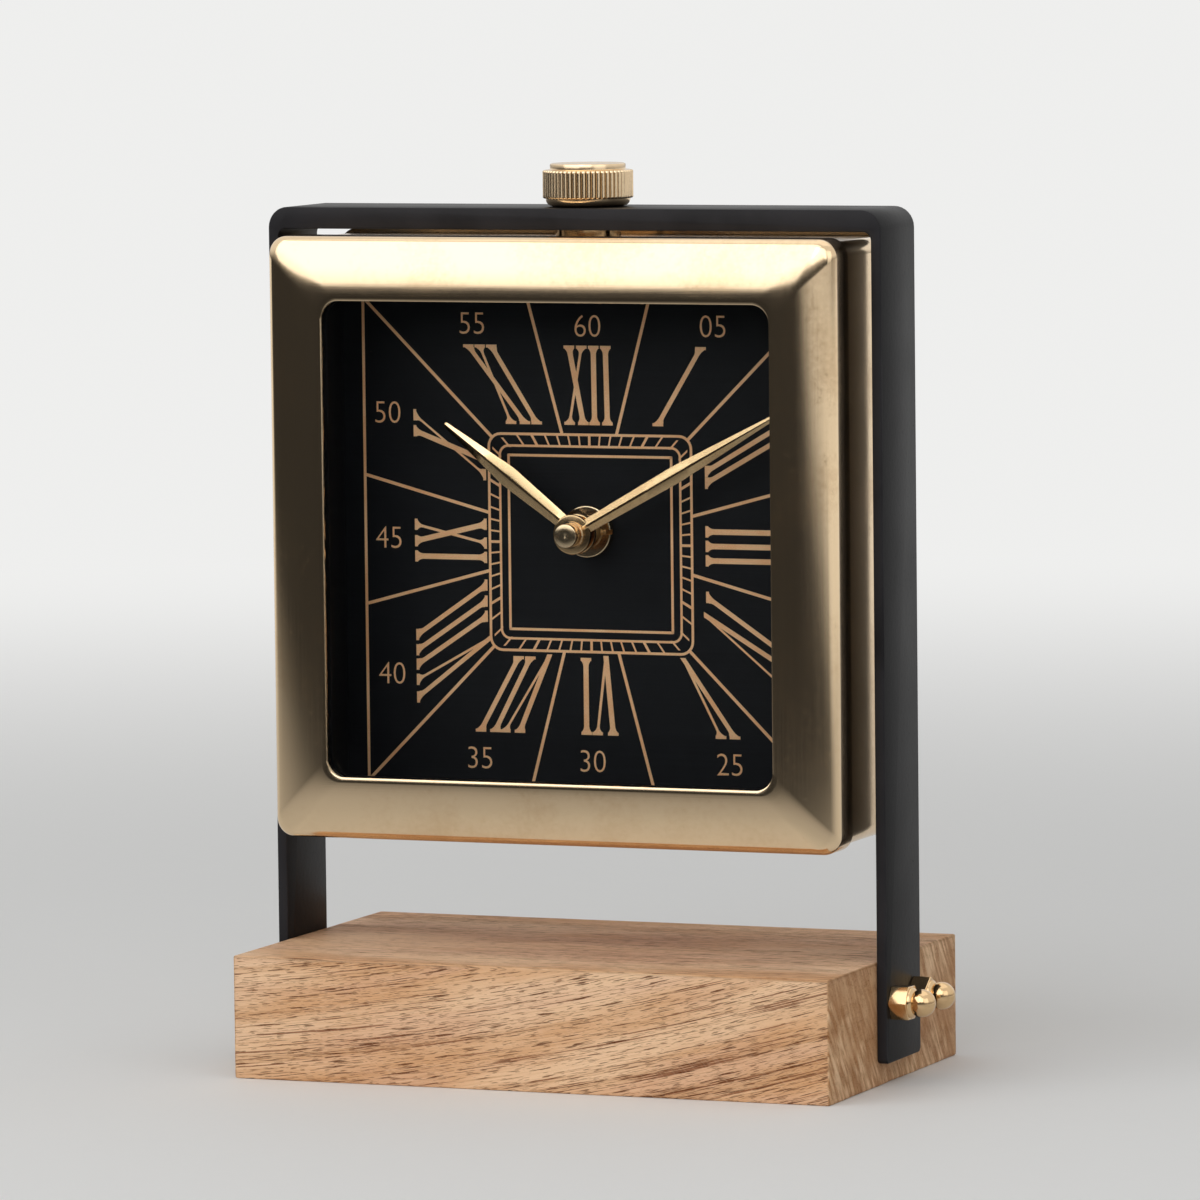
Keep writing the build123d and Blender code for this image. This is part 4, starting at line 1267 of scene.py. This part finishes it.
@dataclass
class HandCap:
    """The turned cap that clamps the minute hand."""

    back: float = -13.3 * MM
    length: float = 4.2 * MM
    radius: float = 2.9 * MM
    collar: float = 3.3 * MM
    collar_length: float = 1.0 * MM
    groove: float = 0.25 * MM
    centre: float = 131.4 * MM

    def build(self) -> None:
        """A turned stub with a collar, a groove in front of it and a chamfered end."""
        form = bmesh.new()
        step = self.collar_length
        waist = self.radius - self.groove
        profile = [
            (0, 0),
            (self.collar - 0.1 * MM, 0),
            (self.collar, 0.1 * MM),
            (self.collar, step - 0.15 * MM),
            (self.collar - 0.15 * MM, step),
            (waist, step),
            (waist, step + 0.35 * MM),
            (self.radius - 0.05 * MM, step + 0.4 * MM),
            (self.radius, step + 0.5 * MM),
            (self.radius, self.length - 0.3 * MM),
            (self.radius - 0.1 * MM, self.length - 0.1 * MM),
            (self.radius - 0.3 * MM, self.length),
            (0.12 * MM, self.length - 0.02 * MM),
            (0, self.length - 0.06 * MM),
        ]
        lathe(form, profile, facing((0, self.back, self.centre), (0, -1, 0)), steps=64)
        Card("hand_cap", "minute", "brass", TURNED_BRASS, ("hand_nut",)).settle(form)


class Side(Enum):
    """A side of the dial: where it points, then the inner and the outer reach of its numerals."""

    TOP = (0, 1, 1.352, 2.212)
    RIGHT = (1, 0, 1.406, 2.26)
    BOTTOM = (0, -1, 1.31, 2.148)
    LEFT = (-1, 0, 1.279, 2.128)

    def point(self, along: float, out: float) -> tuple[float, float]:
        """Place on the dial of a point along the side and out from the middle."""
        x, z = self.value[:2]
        return x * out + abs(z) * along, z * out + abs(x) * along


class Weight(Enum):
    """Half the thickness of a numeral's stroke."""

    HEAVY = 0.031
    LIGHT = 0.0155


@dataclass(frozen=True)
class Stroke:
    """One stroke of a numeral, by its places along the dial's side at foot and head."""

    foot: float
    head: float
    weight: Weight = Weight.HEAVY
    slab: float = 0.064
    slab_height: float = 0.034
    bracket: float = 0.066
    point: float = 0.045
    curve: tuple[tuple[float, float], ...] = ((0.0, 0.8), (0.2, 0.5), (0.45, 0.22), (0.7, 0.07), (1.0, 0.0))

    def outline(self, low: float, high: float, bare: bool) -> list[tuple[float, float]]:
        """Draws the stroke with slab serifs on curved brackets.

        Args:
            low: Reach of the slab at its foot.
            high: Reach of the slab at its head.
            bare: Whether it meets another stroke at its foot and has no slab there.

        Returns:
            The corners, each by its places along and out.
        """
        start = low - self.point if bare else low
        lean = (self.head - self.foot) / (high - start)
        half = self.weight.value
        edge = self.slab_height / 2
        flare = self.slab - half
        swell = [(edge + self.bracket * share, half + flare * part) for share, part in self.curve]
        rows = [(start, self.foot, half)]
        if not bare:
            rows = [(low - edge, self.foot, self.slab), (low + edge, self.foot, self.slab)]
            rows += [(low + rise, self.foot + lean * rise, wide) for rise, wide in swell]
        rows += [(high - rise, self.head - lean * rise, wide) for rise, wide in reversed(swell)]
        rows += [(high - edge, self.head, self.slab), (high + edge, self.head, self.slab)]
        left = [(middle - wide, out) for out, middle, wide in rows]
        right = [(middle + wide, out) for out, middle, wide in reversed(rows)]
        return left + right


NUMERALS: tuple[tuple[Side, tuple[Stroke, ...]], ...] = (
    (
        Side.TOP,
        (
            Stroke(-0.069, -0.235),
            Stroke(-0.236, -0.084, Weight.LIGHT),
            Stroke(0.067, 0.06),
            Stroke(0.222, 0.206),
        ),
    ),
    (Side.TOP, (Stroke(0.83, 1.351),)),
    (Side.RIGHT, (Stroke(0.835, 1.336), Stroke(0.705, 1.194))),
    (Side.RIGHT, (Stroke(0.16, 0.16), Stroke(-0.003, -0.003), Stroke(-0.165, -0.165))),
    (Side.RIGHT, (Stroke(-0.576, -1.155), Stroke(-0.77, -1.308), Stroke(-0.77, -1.524, Weight.LIGHT))),
    (Side.BOTTOM, (Stroke(1.1, 1.719), Stroke(1.1, 1.551, Weight.LIGHT))),
    (Side.BOTTOM, (Stroke(-0.071, -0.071), Stroke(0.172, 0.252), Stroke(0.172, 0.062, Weight.LIGHT))),
    (
        Side.BOTTOM,
        (
            Stroke(-0.891, -1.363),
            Stroke(-0.748, -1.187),
            Stroke(-0.51, -0.885),
            Stroke(-0.51, -1.065, Weight.LIGHT),
        ),
    ),
    (
        Side.LEFT,
        (
            Stroke(-0.496, -1.078),
            Stroke(-0.678, -1.252),
            Stroke(-0.85, -1.416),
            Stroke(-1.094, -1.79),
            Stroke(-1.094, -1.589, Weight.LIGHT),
        ),
    ),
    (Side.LEFT, (Stroke(0.194, -0.009), Stroke(-0.02, 0.178, Weight.LIGHT), Stroke(-0.182, -0.182))),
    (Side.LEFT, (Stroke(0.92, 1.242), Stroke(0.756, 1.423, Weight.LIGHT))),
    (Side.TOP, (Stroke(-0.779, -1.46), Stroke(-0.949, -1.321, Weight.LIGHT), Stroke(-0.637, -1.179))),
)


@dataclass
class DialPrint:
    """The copper-coloured print on the dial, in units of half its inner square."""

    unit: float = 21.6 * MM
    centre: float = 128.3 * MM
    front: float = -1.01 * MM
    ink: float = 0.04 * MM
    layer: float = 0.004 * MM
    track: float = 1.225
    square_lines: tuple[tuple[float, float, float], ...] = (
        (1.0, 0.03, 0.012),
        (1.105, 0.027, 0.12),
        (1.24, 0.03, 0.16),
        (2.768, 0.034, 0.02),
    )
    minute_start: float = 1.09
    minute_gap: float = 0.004
    corner_start: float = 1.075
    corner_gap: float = 0.045
    minute_line: float = 0.02
    fifth_line: float = 0.03
    divider_line: float = 0.036
    divider_end: float = 2.74
    divider_corner: float = 1.18
    number_size: float = 0.366
    number_width: float = 0.95
    number_thin: float = 0.005
    number_steps: int = 4
    minute_places: tuple[tuple[str, float, float], ...] = (
        ("60", -0.01, 2.437),
        ("05", 1.504, 2.446),
        ("10", 2.5, 1.46),
        ("15", 2.5, 0.01),
        ("20", 2.5, -1.55),
        ("25", 1.657, -2.468),
        ("30", -0.003, -2.477),
        ("35", -1.377, -2.475),
        ("40", -2.446, -1.538),
        ("45", -2.46, 0.01),
        ("50", -2.464, 1.434),
        ("55", -1.412, 2.455),
    )

    def build(self) -> None:
        """Prints the track, the dividing lines, the numerals and the minute numbers."""
        self._print_track()
        self._print_numerals()
        self._print_minutes()

    def _ink(self, form: bmesh.types.BMesh, name: str) -> None:
        """Gives flat print its thickness and settles it.

        Args:
            form: The flat print.
            name: The piece's name.
        """
        bmesh.ops.recalc_face_normals(form, faces=form.faces)
        thicken(form, form.faces[:], (0, -self.ink, 0))
        Card(name, "stand", "copper", PRINT_COPPER).settle(form)

    def _patch(self, form: bmesh.types.BMesh, corners: list[tuple[float, float]], layer: int) -> None:
        """Prints one flat patch whose corners are in units from the print's middle.

        Args:
            form: The bmesh that takes it.
            corners: Its corners in order.
            layer: How many coats of ink lie under it.
        """
        depth = self.front - layer * self.layer
        form.faces.new(
            [form.verts.new((x * self.unit, depth, self.centre + z * self.unit)) for x, z in corners]
        )

    def _frame_line(self, form: bmesh.types.BMesh, half: float, line: float, corner: float) -> None:
        """Prints a square line with rounded corners.

        Args:
            form: The bmesh that takes it.
            half: Half the square's width.
            line: Width of the line.
            corner: Radius of the corners.
        """
        sub = bmesh.new()
        rounded_square(sub, half * self.unit, corner * self.unit, self.front, self.centre, segments=6)
        bmesh.ops.edgeloop_fill(sub, edges=sub.edges[:])
        bmesh.ops.inset_region(
            sub, faces=sub.faces[:], thickness=line * self.unit, use_boundary=True, use_even_offset=True
        )
        middle = max(sub.faces, key=lambda face: face.calc_area())
        bmesh.ops.delete(sub, geom=[middle], context="FACES")
        part = bpy.data.meshes.new("line")
        sub.to_mesh(part)
        sub.free()
        form.from_mesh(part)
        bpy.data.meshes.remove(part)

    def _print_track(self) -> None:
        """The inner square, the minute track, the border and the dividing lines."""
        form = bmesh.new()
        for half, line, corner in self.square_lines:
            self._frame_line(form, half, line, corner)
        for minute in range(60):
            near_corner = minute % 15 in (7, 8)
            start = self.corner_start if near_corner else self.minute_start
            end = self.track - (self.corner_gap if near_corner else self.minute_gap)
            self._spoke(form, minute * 6.0, start, end, self.minute_line if minute % 5 else self.fifth_line)
        for hour in range(12):
            start = self.divider_corner if hour % 3 == 1 else self.track
            self._spoke(form, hour * 30.0 + 15.0, start, self.divider_end, self.divider_line)
        self._ink(form, "dial_track")

    def _spoke(self, form: bmesh.types.BMesh, angle: float, start: float, end: float, wide: float) -> None:
        """Prints a line that points at the middle, cut square to the dial's side.

        Args:
            form: The bmesh that takes it.
            angle: Where it points, clockwise from the top in degrees.
            start: The square on which it starts.
            end: The square on which it ends.
            wide: Width of the line.
        """
        x, z = math.sin(math.radians(angle)), math.cos(math.radians(angle))
        long = max(abs(x), abs(z))
        x, z = x / long, z / long
        reach = wide / 2 / long
        across = (reach, 0.0) if abs(z) >= abs(x) else (0.0, reach)
        self._patch(
            form,
            [
                (x * start - across[0], z * start - across[1]),
                (x * end - across[0], z * end - across[1]),
                (x * end + across[0], z * end + across[1]),
                (x * start + across[0], z * start + across[1]),
            ],
            layer=1,
        )

    def _print_numerals(self) -> None:
        """The twelve hours, stroke by stroke."""
        form = bmesh.new()
        for side, strokes in NUMERALS:
            feet = [stroke.foot for stroke in strokes]
            inner, outer = side.value[2:]
            for layer, stroke in enumerate(strokes):
                outline = stroke.outline(inner, outer, feet.count(stroke.foot) > 1)
                self._patch(form, [side.point(*corner) for corner in outline], layer)
        self._ink(form, "dial_hours")

    def _print_minutes(self) -> None:
        """The upright numbers round the dial's rim."""
        form = bmesh.new()
        shape = Matrix.Rotation(math.pi / 2, 4, "X") @ Matrix.Scale(self.number_width, 4, (1, 0, 0))
        for words, x, z in self.minute_places:
            text = bpy.data.curves.new("number", "FONT")
            text.body = words
            text.size = self.number_size * self.unit
            text.align_x = "CENTER"
            text.align_y = "CENTER"
            text.resolution_u = self.number_steps
            text.offset = -self.number_thin * self.unit
            holder = bpy.data.objects.new("number", text)
            bpy.context.scene.collection.objects.link(holder)
            bpy.context.view_layer.update()
            drawn = holder.evaluated_get(bpy.context.evaluated_depsgraph_get())
            flat = bpy.data.meshes.new_from_object(drawn)
            bpy.data.objects.remove(holder)
            bpy.data.curves.remove(text)
            place = Vector((x * self.unit, self.front, self.centre + z * self.unit))
            flat.transform(Matrix.Translation(place) @ shape)
            form.from_mesh(flat)
            bpy.data.meshes.remove(flat)
        bmesh.ops.remove_doubles(form, verts=form.verts, dist=NEAR)
        self._ink(form, "dial_minutes")


@dataclass
class PolarityMarks:
    """The plus and the minus raised on the movement beside the cell's ends."""

    face: float = 17.46 * MM
    height: float = 123.2 * MM
    reach: float = 22.0 * MM
    arm: float = 1.7 * MM
    half: float = 0.4 * MM
    proud: float = 0.15 * MM

    def build(self) -> None:
        """Draws both marks flat on the plate and raises them."""
        form = bmesh.new()
        arm, half = self.arm, self.half
        quarter = [(half, half), (half, arm), (-half, arm)]
        cross = list(quarter)
        for _ in range(3):
            quarter = [(-z, x) for x, z in quarter]
            cross += quarter
        bar = [(arm, half), (-arm, half), (-arm, -half), (arm, -half)]
        for outline, middle in ((cross, self.reach), (bar, -self.reach)):
            form.faces.new([form.verts.new((middle + x, self.face, self.height + z)) for x, z in outline])
        thicken(form, form.faces[:], (0, self.proud, 0))
        Card("polarity_marks", "stand", "gear_plastic", WHEEL_MOULDING).settle(form)


@dataclass(frozen=True)
class Lamp:
    """One soft lamp aimed at the clock."""

    name: str
    place: Triple
    size: float
    power: float
    aim: Triple = (0, 0, 0.11)

    def build(self) -> None:
        """Hangs the lamp and turns it to its aim."""
        light = bpy.data.lights.new(self.name, "AREA")
        light.shape = "SQUARE"
        light.size = self.size
        light.energy = self.power
        lamp = bpy.data.objects.new(self.name, light)
        lamp.location = self.place
        lamp.rotation_euler = (Vector(self.aim) - Vector(self.place)).to_track_quat("-Z", "Y").to_euler()
        bpy.context.scene.collection.objects.link(lamp)


@dataclass
class Studio:
    """Pale floor, soft lamps and the camera."""

    yaw: float = 21.938
    pitch: float = 5.038
    roll: float = -0.644
    eye: Triple = (758.668, -1878.868, 293.064)
    lens: float = 250.883
    sensor: float = 36.0
    floor_half: float = 40.0
    pale: Colour = (0.86, 0.86, 0.85, 1.0)
    grey: Colour = (0.7, 0.7, 0.69, 1.0)
    dim: Colour = (0.03, 0.03, 0.03, 1.0)
    ambient: float = 0.33
    plain_from: tuple[float, float] = (350.0, 1500.0)
    dark_from: tuple[float, float] = (40.0, 180.0)
    back_from: tuple[float, float] = (-700.0, 600.0)
    right_from: tuple[float, float] = (350.0, 1100.0)
    room_from: tuple[float, float] = (-0.1, 0.5)
    lamps: tuple[Lamp, ...] = (
        Lamp("key_lamp", (-0.85, -1.55, 1.45), 2.3, 20),
        Lamp("front_lamp", (0.5, -1.75, 1.2), 1.2, 6),
        Lamp("fill_lamp", (1.5, -0.9, 0.8), 1.2, 3),
        Lamp("top_lamp", (0.1, 0.3, 1.7), 1.6, 3),
    )

    def build(self) -> None:
        """Makes the floor, the world, the lamps and the camera."""
        self._lay_floor()
        self._light_world()
        for lamp in self.lamps:
            lamp.build()
        self._set_camera()
        bpy.context.scene.view_settings.view_transform = "Standard"

    def _lay_floor(self) -> None:
        """A wide flat sheet under the clock."""
        form = bmesh.new()
        bmesh.ops.create_grid(form, x_segments=2, y_segments=2, size=self.floor_half)
        sheet = bpy.data.meshes.new("studio_floor")
        form.to_mesh(sheet)
        form.free()
        floor = bpy.data.objects.new("studio_floor", sheet)
        bpy.context.scene.collection.objects.link(floor)
        made = bpy.data.materials.new("pale_floor")
        made.use_nodes = True
        self._paint_floor(Graph(made.node_tree))
        sheet.materials.append(made)

    def _paint_floor(self, graph: Graph) -> None:
        """Lit near the clock, plain far from it, and dark in front where only metal mirrors it.

        Args:
            graph: The floor's graph.
        """
        spot = graph.spot()
        along, across, _ = graph.split(spot)
        radius = (along**2.0 + across**2.0) ** 0.5
        glossy = graph.node("ShaderNodeLightPath", output="Is Glossy Ray")
        grit = graph.noise(spot, size=6, detail=3)
        matt = graph.shader(Base_Color=graph.mix(grit * 0.06, self.pale, self.grey), Roughness=0.75)
        camera = graph.node("ShaderNodeLightPath", output="Is Camera Ray")
        behind = graph.fade(across, *self.back_from).larger(graph.fade(along, *self.right_from))
        dark = graph.fade(radius, *self.dark_from) * glossy * (1 - behind)
        far = graph.fade(radius, *self.plain_from).larger(dark)
        tone = graph.mix(camera.larger(behind), self.dim, self.pale)
        plain = graph.node("ShaderNodeEmission", inputs={"Color": tone, "Strength": 1.0})
        graph.show(graph.node("ShaderNodeMixShader", inputs={0: far, 1: matt, 2: plain}))

    def _light_world(self) -> None:
        """A pale room that metal, glass and the camera see, and a dimmer one that lights."""
        world = bpy.data.worlds.new("pale_room")
        world.use_nodes = True
        bpy.context.scene.world = world
        graph = Graph(world.node_tree)
        sockets = graph.node("ShaderNodeLightPath").socket.node.outputs
        camera = Signal(graph, sockets["Is Camera Ray"])
        seen = camera
        for name in ("Is Glossy Ray", "Is Transmission Ray"):
            seen = seen.larger(Signal(graph, sockets[name]))
        view = graph.node("ShaderNodeTexCoord", output="Generated")
        _, back, up = graph.split(view)
        room = graph.fade(back * 0.2 + up * 1.7, *self.room_from)
        walls = graph.mix(camera.larger(room), self.dim, self.pale)
        shown = graph.node("ShaderNodeBackground", inputs={"Color": walls, "Strength": 1.0})
        light = graph.node("ShaderNodeBackground", inputs={"Color": (1, 1, 1, 1), "Strength": self.ambient})
        mixed = graph.node("ShaderNodeMixShader", inputs={0: seen, 1: light, 2: shown})
        graph.show(mixed, "ShaderNodeOutputWorld")

    def _set_camera(self) -> None:
        """Stands the camera where the photograph was taken from."""
        yaw, pitch, roll = (math.radians(angle) for angle in (self.yaw, self.pitch, self.roll))
        right = Vector((math.cos(yaw), math.sin(yaw), 0))
        level = math.cos(pitch)
        ahead = Vector((-math.sin(yaw) * level, math.cos(yaw) * level, -math.sin(pitch)))
        up = right.cross(ahead)
        side = right * math.cos(roll) + up * math.sin(roll)
        top = up * math.cos(roll) - right * math.sin(roll)
        eye = Vector(self.eye) * MM
        lens = bpy.data.cameras.new("camera")
        lens.lens = self.lens
        lens.sensor_width = self.sensor
        lens.clip_end = 2.5 * self.floor_half
        camera = bpy.data.objects.new("camera", lens)
        camera.matrix_world = Matrix.Translation(eye) @ Matrix((side, top, -ahead)).transposed().to_4x4()
        bpy.context.scene.collection.objects.link(camera)
        bpy.context.scene.camera = camera


def main() -> None:
    """Builds the clock's pieces and the studio in order."""
    logging.basicConfig(level=logging.INFO, format="%(name)s: %(message)s")
    dress_nodes()
    WoodBlock().build()
    Strap().build()
    AcornNuts().build()
    Bezel().build()
    CrownKnob().build()
    DialPrint().build()
    PolarityMarks().build()
    LanceHand(
        "hour_lance",
        "hour",
        "hour_hand",
        back=-9.2 * MM,
        angle=307.1,
        length=43.5 * MM,
        belly=5.2 * MM,
        bore=2.55 * MM,
    ).build()
    LanceHand(
        "minute_lance",
        "minute",
        "minute_hand",
        back=-12.4 * MM,
        angle=60.9,
        length=60.0 * MM,
        belly=4.2 * MM,
        bore=1.15 * MM,
    ).build()
    HandCap().build()
    Studio().build()


if __name__ == "__main__":
    main()
